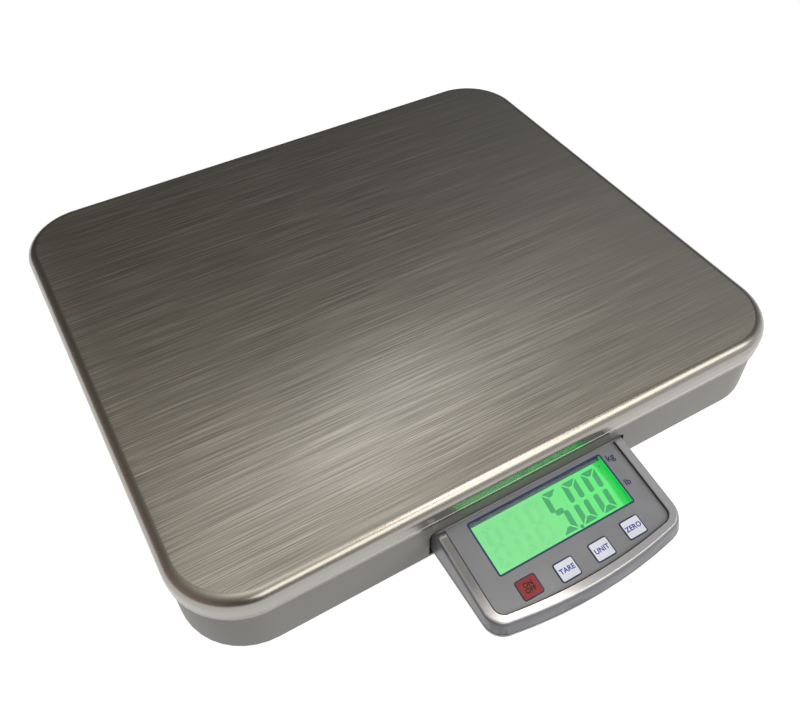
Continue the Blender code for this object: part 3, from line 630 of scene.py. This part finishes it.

# %% [markdown]
# The rim is the one glossy piece of the head: grey plastic under a clear coat,
# so that it mirrors the lamp above it. Its left side is painted darker away
# from the front corner, as painted shade on the side turned from the lamps;
# two masks on X and Y give it, multiplied together.

# %% Finish for the rim
RIM_COLOUR = (0.335, 0.345, 0.385)
RIM_PAINTED_SHADE = (0.075, 0.077, 0.090)
RIM_GLOSS = (("Specular IOR Level", 0.9), ("Coat Weight", 1.0),
             ("Coat IOR", 2.0), ("Coat Roughness", 0.09))
RIM_MOTTLE = (0.85, 1.0)
RIM_SHADE_ACROSS = 0.004
RIM_SHADE_ALONG = (0.007, 0.027)


def rim_with_painted_shade():
    """Glossy plastic with painted shade along the left side, away from the front corner."""
    material = moulded("rim_gloss_grey_painted_shade", RIM_COLOUR, roughness=0.11, strength=0.02)
    tree = material.node_tree
    shader = tree.nodes["Principled BSDF"]
    for socket, value in RIM_GLOSS:
        shader.inputs[socket].default_value = value
    edge = HEAD_X - overlay_half
    left = span(tree, axis_value(tree, "X"), edge, edge + RIM_SHADE_ACROSS, 1.0, 0.0)
    front, rear = [overlay_low[1] + y for y in RIM_SHADE_ALONG]
    back = span(tree, axis_value(tree, "Y"), front, rear, 0.0, 1.0)
    mottle = span(tree, pattern(tree, MOTTLE_SCALE), 0, 1, *RIM_MOTTLE)
    # Painted shade: darkest on the left side, away from the front corner.
    shade = product(tree, product(tree, left, back), mottle)
    tree.links.new(ramp(tree, shade, ((0.0, RIM_COLOUR), (1.0, RIM_PAINTED_SHADE))),
                   shader.inputs["Base Color"])
    return material


rim_plastic = rim_with_painted_shade()
# Near black, as painted shadow: it darkens the groove round the film and the gap of the case seam.
painted_gap_shadow = moulded("seam_shadow", (0.02, 0.02, 0.02), roughness=0.7)
print("finishes", rim_plastic.name, painted_gap_shadow.name)

# %% [markdown]
# A flat rim frames the film on both sides and the front. Its outline is the
# film's own, grown step by step to the outline of the housing. Each pair below
# is a share of that way and a height above the panel: a steep inner wall, a
# wide flat and a small round at the outside. A second, narrow section lays a
# dark band between the rim and the film: painted shadow in the groove there.

# %% Frame the film with a rim
OVERLAY_CORNER = 0.0065
OVERLAY_BOW = 0.0053
HEAD_CORNER = 0.0127
HEAD_BOW = 0.0078
RIM_SIDE = 0.0070
RIM_FRONT = 0.0065
RIM_SECTION = ((0.08, 0.0001), (0.09, 0.0010), (0.12, 0.0013), (0.14, 0.0013), (0.76, 0.0013),
               (0.80, 0.0013), (0.90, 0.0010), (0.965, 0.0), (0.97, -0.0012), (0.40, -0.0012))
GROOVE_SECTION = ((0.01, 0.0002), (0.01, 0.0009), (0.09, 0.0009), (0.09, 0.0002))


def build_frame(name, section, material, slot):
    rows = []
    for share, height in section:
        corner = OVERLAY_CORNER + share * (HEAD_CORNER - OVERLAY_CORNER)
        bow = OVERLAY_BOW + share * (HEAD_BOW - OVERLAY_BOW)
        outline = head_outline(overlay_half + share * RIM_SIDE,
                               overlay_reach + share * RIM_FRONT, corner, bow)
        rows.append([(x, y, height) for x, y in outline])
    bm = bmesh.new()
    sweep(bm, rows)
    return settle(bm, name, "display_head", [material], PANEL, slot)


rim_piece = build_frame("rim_frame", RIM_SECTION, rim_plastic, "head_grey")
groove_piece = build_frame("film_groove_shadow", GROOVE_SECTION, painted_gap_shadow, "black_plastic")
print("faces of rim and groove", len(rim_piece.data.polygons), len(groove_piece.data.polygons))

# %% [markdown]
# Where the two halves of the head's case meet there is a shadow gap; its shadow
# is painted as a thin dark band round the front. It is the same kind of sweep, in
# the world's own level axes this time: a narrow band standing just proud of the
# lower half.

# %% Draw the seam of the case
SEAM_HEIGHT = 0.0009
SEAM_PROUD = 0.0003
SEAM_STEP = 0.0004


def build_seam():
    lower_low, lower_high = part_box("head_lower_housing")
    half = (lower_high[0] - lower_low[0]) / 2
    reach = base_low[1] - lower_low[1]
    section = ((0.0, 0.0), (SEAM_PROUD, 0.0), (SEAM_PROUD, SEAM_HEIGHT), (0.0, SEAM_HEIGHT))
    rows = []
    for proud, height in section:
        corner = HEAD_CORNER - SEAM_STEP + proud
        outline = head_outline(half + proud, reach + proud, corner, HEAD_BOW)
        rows.append([(x, y, height) for x, y in outline])
    bm = bmesh.new()
    sweep(bm, rows)
    place = Matrix.Translation((HEAD_X, base_low[1], lower_high[2] - SEAM_HEIGHT))
    settle(bm, "case_seam_shadow", "display_head", [painted_gap_shadow], place, "black_plastic")
    return lower_high[2]


print("seam drawn below height", round(build_seam(), 4))

# %% [markdown]
# The face is a printed polyester film: a matt grey ground with a very fine
# grain. Inks and key windows are printed on the same film, so they share its
# grain and its weak sheen, and differ in colour.

# %% Film and inks
FILM_SHEEN = 0.28
FILM_ROUGHNESS = 0.20
PAD_ROUGHNESS = 0.34
INK_ROUGHNESS = 0.4
FILM_GRAIN = 2600.0
FILM_BUMP = 0.06
INK_BUMP = 0.03


def printed(name, colour, roughness, strength):
    material = moulded(name, colour, roughness, FILM_GRAIN, strength)
    shader = material.node_tree.nodes["Principled BSDF"]
    shader.inputs["Specular IOR Level"].default_value = FILM_SHEEN
    return material


film = printed("overlay_film_grey", (0.262, 0.276, 0.304), FILM_ROUGHNESS, FILM_BUMP)
navy_ink = printed("navy_ink", (0.018, 0.035, 0.135), INK_ROUGHNESS, INK_BUMP)
blue_ink = printed("blue_ink", (0.012, 0.045, 0.42), INK_ROUGHNESS, INK_BUMP)
dark_ink = printed("dark_red_ink", (0.014, 0.003, 0.004), INK_ROUGHNESS, INK_BUMP)
pale_pad = printed("key_pale_film", (0.82, 0.88, 1.0), PAD_ROUGHNESS, FILM_BUMP)
red_pad = printed("key_red_film", (0.30, 0.018, 0.018), PAD_ROUGHNESS, FILM_BUMP)
frame["nodes"]["overlay_panel"].material_slots[0].material = film
print("overlay printed on", film.name)

# %% [markdown]
# The keys are embossed windows in the film. Each is a pale or red pad with
# softly rounded corners and a navy outline, so a slab is bevelled, its top is
# inset for the outline and the pad is left as the inner face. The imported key
# gives its size and place.

# %% Emboss the keys
KEY_CORNER = 0.0014
KEY_OUTLINE = 0.00055


def panel_box(node):
    """A node's box in the panel's own axes."""
    inverse = PANEL.inverted()
    corners = [inverse @ v.co for v in frame["nodes"][node].data.vertices]
    low = Vector([min(c[i] for c in corners) for i in range(3)])
    high = Vector([max(c[i] for c in corners) for i in range(3)])
    return low, high


def build_key(name, pad, slot):
    low, high = panel_box("key_" + name)
    middle = (low + high) / 2
    bm = bmesh.new()
    rounded_slab(bm, high.x - low.x, high.y - low.y, low.z, high.z, KEY_CORNER)
    top = [f for f in bm.faces if f.normal.z > FACING]
    bmesh.ops.inset_region(bm, faces=top, thickness=KEY_OUTLINE, use_even_offset=True)
    for face in top:
        face.material_index = 1
    settle(bm, "key_pad_" + name, name + "_key", [navy_ink, pad],
           PANEL @ Matrix.Translation((middle.x, middle.y, 0)), slot, ["key_" + name])
    return middle.x, middle.y, high.z


key_tops = {"on_off": build_key("on_off", red_pad, "key_red")}
for key in ("tare", "unit", "zero"):
    key_tops[key] = build_key(key, pale_pad, "key_pale")
print("key tops", {name: [round(c, 4) for c in top] for name, top in key_tops.items()})

# %% [markdown]
# Legends are plain capitals. Blender's text is a curve: it is given a little
# weight with an offset, made a mesh and laid a hair above what it is printed
# on. Too much weight closes the letters up, so it stays small.

# %% Print a word
INK_LIFT = 0.00003
INK_THICKNESS = 0.00002
INK_WELD = 0.0000005
LINE_SPACING = 0.85
LETTER_SPACING = 1.05


def mesh_of(curve, name):
    """The evaluated mesh of a text, as a bmesh with its seams merged."""
    carrier = bpy.data.objects.new(name, curve)
    scene.collection.objects.link(carrier)
    bpy.context.view_layer.update()
    evaluated = carrier.evaluated_get(bpy.context.evaluated_depsgraph_get())
    mesh = bpy.data.meshes.new_from_object(evaluated)
    bpy.data.objects.remove(carrier, do_unlink=True)
    bm = bmesh.new()
    bm.from_mesh(mesh)
    bpy.data.meshes.remove(mesh)
    bmesh.ops.remove_doubles(bm, verts=bm.verts, dist=INK_WELD)
    return bm


def word_shape(name, words, size, weight, place, stretch=1.0):
    """The mesh of a word, centred on a place in the panel's axes."""
    text = bpy.data.curves.new(name, "FONT")
    text.body = words
    text.size = size
    text.align_x = "CENTER"
    text.align_y = "CENTER"
    text.offset = weight
    text.space_line = LINE_SPACING
    text.space_character = LETTER_SPACING
    text.extrude = INK_THICKNESS
    bm = mesh_of(text, name)
    bmesh.ops.scale(bm, vec=(stretch, 1, 1), verts=bm.verts)
    x, y, height = place
    bmesh.ops.translate(bm, vec=(x, y, height + INK_LIFT), verts=bm.verts)
    return bm


print("helpers", mesh_of.__name__, word_shape.__name__)

# %% [markdown]
# Each key carries its own word, which rides on the key, so that it sinks when
# the key is pressed. The two units stand on the film, right of the window and
# at the height of the arrow that picks one of them.

# %% Print the legends and the units
KEY_WORDS = {"tare": "TARE", "unit": "UNIT", "zero": "ZERO"}
KEY_WORD_SIZE = 0.0044
KEY_WORD_WEIGHT = 0.00011
KEY_WORD_STRETCH = 0.97
POWER_WORD_SIZE = 0.0040
POWER_WORD_WEIGHT = 0.00016
UNIT_WEIGHT = 0.00013
KG_SIZE = 0.0062
KG_X = 0.0548
KG_BELOW_EDGE = 0.0053
LB_SIZE = 0.0058
LB_X = 0.0542
LB_BELOW_EDGE = 0.0239

for key, words in KEY_WORDS.items():
    legend = word_shape("legend_" + key, words, KEY_WORD_SIZE, KEY_WORD_WEIGHT, key_tops[key],
                        KEY_WORD_STRETCH)
    settle(legend, "legend_" + key, key + "_key", [blue_ink], PANEL, "key_pale")
legend = word_shape("legend_on_off", "ON\nOFF", POWER_WORD_SIZE, POWER_WORD_WEIGHT,
                    key_tops["on_off"])
settle(legend, "legend_on_off", "on_off_key", [dark_ink], PANEL, "key_red")
lens_low, lens_high = panel_box("lcd_window")
kilograms = word_shape("unit_kg", "kg", KG_SIZE, UNIT_WEIGHT,
                       (KG_X, lens_high.y - KG_BELOW_EDGE, 0.0))
settle(kilograms, "unit_kg", "display_head", [navy_ink], PANEL, "overlay_film")
pounds = word_shape("unit_lb", "lb", LB_SIZE, UNIT_WEIGHT,
                    (LB_X, lens_high.y - LB_BELOW_EDGE, 0.0))
settle(pounds, "unit_lb", "display_head", [navy_ink], PANEL, "overlay_film")
print("words on the keys", list(KEY_WORDS.values()))

# %% [markdown]
# The display is a green-lit liquid crystal glass about three millimetres under
# the film's clear window. Its light comes from a strip at the right, so the
# green is pale on the left and strong near that edge: a ramp along X gives the
# colour of the glow, and a weak noise keeps it from being a perfect ramp.

# %% Light the display
LCD_GLOW = 0.86
LCD_UNLIT = (0.03, 0.10, 0.04)
LCD_STOPS = ((0.0, (0.21, 0.75, 0.29)),
             (0.4, (0.20, 0.77, 0.27)),
             (0.75, (0.13, 0.85, 0.22)),
             (0.935, (0.10, 0.86, 0.19)),
             (0.952, (0.0, 0.62, 0.07)))
LCD_CLOUD_SCALE = (45.0, 45.0, 45.0)
LCD_CLOUD = 0.008
LCD_CORNER = 0.0004


def lit_green():
    material, tree, shader = new_finish("lcd_lit_green", LCD_UNLIT, roughness=0.3)
    edge = lens_high.x
    across = span(tree, axis_value(tree, "X"), HEAD_X - edge, HEAD_X + edge, 0.0, 1.0)
    cloud = span(tree, pattern(tree, LCD_CLOUD_SCALE, detail=3.0), 0, 1, -LCD_CLOUD, LCD_CLOUD)
    shift = tree.nodes.new("ShaderNodeMath")
    tree.links.new(across, shift.inputs[0])
    tree.links.new(cloud, shift.inputs[1])
    green = ramp(tree, shift.outputs["Value"], LCD_STOPS)
    tree.links.new(green, shader.inputs["Emission Color"])
    shader.inputs["Emission Strength"].default_value = LCD_GLOW
    return material


def build_lcd():
    low, high = panel_box("lcd_glass")
    middle = (low + high) / 2
    bm = bmesh.new()
    rounded_slab(bm, high.x - low.x, high.y - low.y, low.z, high.z, LCD_CORNER, segments=2)
    settle(bm, "lcd_lit_glass", "display_head", [lit_green()],
           PANEL @ Matrix.Translation((middle.x, middle.y, 0)), "lcd_green", ["lcd_glass"])
    return high.z


lcd_top = build_lcd()
print("display glass at", round(lcd_top, 4))

# %% [markdown]
# A navy line is printed round the window. It is a slab with its middle taken
# out: both caps are inset, the inner faces are deleted and the two loops that
# stay open are bridged. The well below the window uses the same helper.

# %% Print the window's border
BORDER_WIDTH = 0.0011
BORDER_OVERLAP = 0.0006
BORDER_CORNER = 0.0018
lens_middle = (lens_low + lens_high) / 2
lens_width = lens_high.x - lens_low.x
lens_depth = lens_high.y - lens_low.y
AT_LENS = PANEL @ Matrix.Translation((lens_middle.x, lens_middle.y, 0))


def ring(bm, width, depth, wall, bottom, top, corner):
    """A rounded slab with its middle taken out."""
    rounded_slab(bm, width, depth, bottom, top, corner)
    caps = [f for f in bm.faces if abs(f.normal.z) > FACING]
    bmesh.ops.inset_region(bm, faces=caps, thickness=wall, use_even_offset=True)
    loops = list({e for f in caps for e in f.edges})
    bmesh.ops.delete(bm, geom=caps, context="FACES_ONLY")
    bmesh.ops.bridge_loops(bm, edges=loops)
    bmesh.ops.recalc_face_normals(bm, faces=bm.faces)


def build_border():
    bm = bmesh.new()
    ring(bm, lens_width + BORDER_OVERLAP, lens_depth + BORDER_OVERLAP, BORDER_WIDTH,
         0.0, INK_LIFT, BORDER_CORNER)
    settle(bm, "window_border", "display_head", [navy_ink], AT_LENS, "overlay_film")


build_border()
print("window", round(lens_width, 4), "by", round(lens_depth, 4))

# %% [markdown]
# Between the film and the glass there is a well. Its walls are dark, painted
# shade of the recess, apart from the right one: it faces the light strip and
# glows as the bright green edge of the window, painted light from that strip. It
# is a ring like the border, and the faces that look left get a second material.

# %% Line the well
LINER = 0.0006
LINER_CLEARANCE = 0.0001
LINER_CORNER = 0.0010
STRIP_DARK = (0.01, 0.10, 0.02)
STRIP_STOPS = ((0.0, (0.0, 0.50, 0.04)), (1.0, (0.005, 0.66, 0.07)))
STRIP_CLOUD_SCALE = (90.0, 90.0, 90.0)
FACING_LEFT = 0.7
# The walls' near black is painted shade in the recess.
well_painted_shade = moulded("well_painted_shade", (0.006, 0.020, 0.022), roughness=0.6)


# The right wall's glow is painted light: emission standing in for the light it catches from the
# strip.
def painted_strip_glow():
    material, tree, shader = new_finish("painted_glow_from_strip", STRIP_DARK, roughness=0.4)
    glow = ramp(tree, pattern(tree, STRIP_CLOUD_SCALE, detail=3.0), STRIP_STOPS)
    tree.links.new(glow, shader.inputs["Emission Color"])
    shader.inputs["Emission Strength"].default_value = LCD_GLOW
    return material


def build_liner():
    bm = bmesh.new()
    ring(bm, lens_width - LINER_CLEARANCE, lens_depth - LINER_CLEARANCE, LINER,
         lcd_top + LINER_CLEARANCE, -LINER_CLEARANCE, LINER_CORNER)
    bm.normal_update()
    lit = [f for f in bm.faces
           if f.normal.x < -FACING_LEFT and f.calc_center_median().x > 0]
    for face in lit:
        face.material_index = 1
    settle(bm, "well_liner", "display_head", [well_painted_shade, painted_strip_glow()], AT_LENS, "black_plastic")
    return len(lit)


print("lit faces in the well", build_liner())

# %% [markdown]
# A narrow slate strip lies along the back of the glass, where its metal bezel
# shows below the window's edge; its dark slate is also painted shadow, the
# shade that the well's back wall throws there. A thin slab is enough for it.

# %% Lay the bezel and its painted shadow
BEZEL_DEPTH = 0.0026
BEZEL_HEIGHT = 0.0003
bezel_and_shadow_slate = moulded("bezel_and_shadow_slate", (0.100, 0.165, 0.185), roughness=0.5)


def build_bezel_and_shadow():
    bm = bmesh.new()
    rounded_slab(bm, lens_width - 2 * LINER, BEZEL_DEPTH, 0.0, BEZEL_HEIGHT, BEZEL_HEIGHT,
                 segments=2)
    place = (lens_middle.x, lens_high.y - BEZEL_DEPTH / 2, lcd_top)
    settle(bm, "display_bezel_and_shadow", "display_head", [bezel_and_shadow_slate],
           PANEL @ Matrix.Translation(place), "black_plastic")


build_bezel_and_shadow()
print("bezel", BEZEL_DEPTH, "deep")

# %% [markdown]
# Numbers are seven fat segments. Each is a bar whose inner side is drawn in
# where it meets a corner, so that neighbours make a mitre, and whose other ends
# are bevelled blunt. The letters a to g name the segments as makers of such
# displays do: a on top, then clockwise, with g in the middle.

# %% Shape a digit
DIGIT_WIDTH = 0.0109
DIGIT_HEIGHT = 0.0284
DIGIT_STROKE = 0.0036
DIGIT_GAP = 0.0007
MIDDLE_GAP = 0.0010
DIGIT_LIFT = 0.00006
BLUNT_SHARE = 0.40
LIT = {"5": "afgcd", "0": "abcdef", "8": "abcdefg"}


def add_bar(bm, length, turn, x, y, mitres):
    """A bar along X, drawn in at its mitred ends and blunted at the others, then placed."""
    verts = bmesh.ops.create_cube(bm, size=1.0)["verts"]
    bmesh.ops.scale(bm, vec=(length, DIGIT_STROKE, DIGIT_LIFT), verts=verts)
    edges = {e for v in verts for e in v.link_edges}
    upright = {e for e in edges if abs(e.verts[0].co.z - e.verts[1].co.z) > DIGIT_LIFT / 2}
    blunt = [e for e in upright if math.copysign(1, e.verts[0].co.x) not in mitres]
    for end in mitres:
        inner = [v for v in verts if v.co.y < 0 and v.co.x * end > 0]
        bmesh.ops.translate(bm, vec=(-end * DIGIT_STROKE, 0, 0), verts=inner)
    eased = bmesh.ops.bevel(bm, geom=blunt, offset=DIGIT_STROKE * BLUNT_SHARE, segments=2,
                            profile=0.5, affect="EDGES", material=-1)
    bar = {v for v in verts if v.is_valid} | {v for f in eased["faces"] for v in f.verts}
    bmesh.ops.rotate(bm, matrix=Matrix.Rotation(turn, 3, "Z"), verts=list(bar))
    bmesh.ops.translate(bm, vec=(x, y, 0), verts=list(bar))


def add_digit(bm, lit):
    half_w = (DIGIT_WIDTH - DIGIT_STROKE) / 2
    half_h = (DIGIT_HEIGHT - DIGIT_STROKE) / 2
    across = DIGIT_WIDTH - 2 * DIGIT_GAP
    tall = DIGIT_HEIGHT / 2 - DIGIT_GAP - MIDDLE_GAP
    rise = (DIGIT_HEIGHT / 2 - DIGIT_GAP + MIDDLE_GAP) / 2
    quarter = math.pi / 2
    bars = {"a": (across, 0, 0, half_h, (-1, 1)),
            "b": (tall, -quarter, half_w, rise, (-1,)),
            "c": (tall, -quarter, half_w, -rise, (1,)),
            "d": (across, 2 * quarter, 0, -half_h, (-1, 1)),
            "e": (tall, quarter, -half_w, -rise, (-1,)),
            "f": (tall, quarter, -half_w, rise, (1,)),
            "g": (across - DIGIT_STROKE, 0, 0, 0, ())}
    for letter in lit:
        add_bar(bm, *bars[letter])


print("digit", DIGIT_WIDTH, "by", DIGIT_HEIGHT)

# %% [markdown]
# The reading stands at the right and leans a little, which a shear matrix gives.
# The places to its left are unlit, and show only as a slightly deeper green, so
# they are the same digits in a colour close to that of the glass.

# %% Show the reading
DIGIT_PITCH = 0.0150
DIGIT_LEAN = 0.080
DIGIT_DROP = 0.0010
FIRST_DIGIT_X = 0.0060
READING = "500"
UNLIT_PLACES = 3
SEGMENT_GROUND = (0.01, 0.04, 0.02)
SEGMENT_PALER = 1.12
SEGMENT_CLOUD_SCALE = (160.0, 160.0, 160.0)


def glowing(name, colour):
    material, tree, shader = new_finish(name, SEGMENT_GROUND, roughness=0.4)
    paler = [c * SEGMENT_PALER for c in colour]
    cloud = pattern(tree, SEGMENT_CLOUD_SCALE, detail=3.0)
    shades = ramp(tree, cloud, ((0.0, colour), (1.0, paler)))
    tree.links.new(shades, shader.inputs["Emission Color"])
    shader.inputs["Emission Strength"].default_value = LCD_GLOW
    return material


def show_digit(name, lit, centre_x, material):
    bm = bmesh.new()
    add_digit(bm, lit)
    lean = Matrix.Identity(4)
    lean[0][1] = DIGIT_LEAN
    centre = (centre_x, lens_middle.y - DIGIT_DROP, lcd_top + DIGIT_LIFT)
    place = PANEL @ Matrix.Translation(centre) @ lean
    settle(bm, name, "display_head", [material], place, "lcd_green")


segment_dark = glowing("segment_dark_green", (0.040, 0.36, 0.135))
segment_unlit = glowing("segment_unlit", (0.199, 0.748, 0.274))
for index, figure in enumerate(READING):
    centre_x = FIRST_DIGIT_X + index * DIGIT_PITCH
    show_digit(f"reading_{index + 1}", LIT[figure], centre_x, segment_dark)
for index in range(1, UNLIT_PLACES + 1):
    centre_x = FIRST_DIGIT_X - index * DIGIT_PITCH
    show_digit(f"unlit_{index}", LIT["8"], centre_x, segment_unlit)
print("reading", READING, "after", UNLIT_PLACES, "unlit places")

# %% [markdown]
# Two small marks belong to the reading: the decimal point after the first
# figure, and the arrow that points at the unit in use. The arrow is a cone with
# three sides and no taper, which is the shortest way to a triangle.

# %% Add the point and the arrow
POINT_SIZE = 0.0024
POINT_CORNER = 0.0007
POINT_X = 0.0127
POINT_DROP = 0.0152
ARROW_RADIUS = 0.0016
ARROW_X = 0.0466
ARROW_RISE = 0.0122


def build_point():
    bm = bmesh.new()
    rounded_slab(bm, POINT_SIZE, POINT_SIZE, 0.0, DIGIT_LIFT, POINT_CORNER, segments=3)
    place = PANEL @ Matrix.Translation((POINT_X, lens_middle.y - POINT_DROP, lcd_top))
    settle(bm, "reading_point", "display_head", [segment_dark], place, "lcd_green")


def build_arrow():
    bm = bmesh.new()
    bmesh.ops.create_cone(bm, cap_ends=True, segments=3, radius1=ARROW_RADIUS,
                          radius2=ARROW_RADIUS, depth=DIGIT_LIFT)
    spot = (ARROW_X, lens_middle.y + ARROW_RISE, lcd_top + DIGIT_LIFT)
    place = PANEL @ Matrix.Translation(spot) @ Matrix.Rotation(-math.pi / 2, 4, "Z")
    settle(bm, "unit_arrow", "display_head", [segment_dark], place, "lcd_green")


build_point()
build_arrow()
print("point", POINT_SIZE, "wide, arrow radius", ARROW_RADIUS)

# %% [markdown]
# The clear window over the display is thin acrylic. It is cut a little smaller
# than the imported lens, to sit inside the liner, and Principled transmission
# makes it clear. A low index of refraction keeps its mirror image weak.

# %% Glaze the window
ACRYLIC = (0.97, 0.99, 0.97)
ACRYLIC_ROUGHNESS = 0.03
ACRYLIC_INDEX = 1.12
WINDOW_CORNER = 0.0008
WINDOW_MARGIN = 3 * LINER


def clear_acrylic():
    material, _, shader = new_finish("clear_acrylic", ACRYLIC, ACRYLIC_ROUGHNESS)
    shader.inputs["Transmission Weight"].default_value = 1.0
    shader.inputs["IOR"].default_value = ACRYLIC_INDEX
    return material


def build_window():
    bm = bmesh.new()
    top = lens_high.z - INK_LIFT
    rounded_slab(bm, lens_width - WINDOW_MARGIN, lens_depth - WINDOW_MARGIN, lens_low.z, top,
                 WINDOW_CORNER, segments=4)
    settle(bm, "clear_window", "display_head", [clear_acrylic()], AT_LENS, "lens_clear",
           ["lcd_window"])
    return top - lens_low.z


print("window", round(build_window(), 5), "thick")

# %% [markdown]
# Feet, bolts, load cell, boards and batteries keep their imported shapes, because
# they are hidden or plain. Each still gets a finish with some grain of its own,
# chosen by the slot that the record names for it.

# %% Finish the rest
SLOT_FINISH = {
    "rubber_black": moulded("black_rubber", (0.022, 0.022, 0.022), 0.75, grain=700.0, strength=0.3),
    "black_plastic": moulded("black_plastic", (0.012, 0.012, 0.012), 0.6),
    "bolt_steel": powder_coat("zinc_steel", (0.50, 0.50, 0.51), 0.34, metallic=1.0),
    "frame_paint": powder_coat("black_frame_paint", (0.05, 0.05, 0.055), 0.45),
    "cell_aluminium": powder_coat("machined_aluminium", (0.72, 0.73, 0.74), 0.32, metallic=1.0),
    "board_green": moulded("board_lacquer", (0.02, 0.13, 0.06), 0.35),
    "backlight_green": moulded("backlight_diffuser", (0.25, 0.80, 0.35), 0.5),
    "battery_wrap": moulded("battery_wrapper", (0.04, 0.16, 0.30), 0.3),
    "door_grey": moulded("door_grey_plastic", (0.30, 0.30, 0.295), 0.5),
}
finished = 0
for part in frame["record"]["subparts"]:
    finish = SLOT_FINISH.get(part["material_slot"])
    if finish:
        frame["nodes"][part["node"]].material_slots[0].material = finish
        finished += 1
print("plain pieces finished", finished)
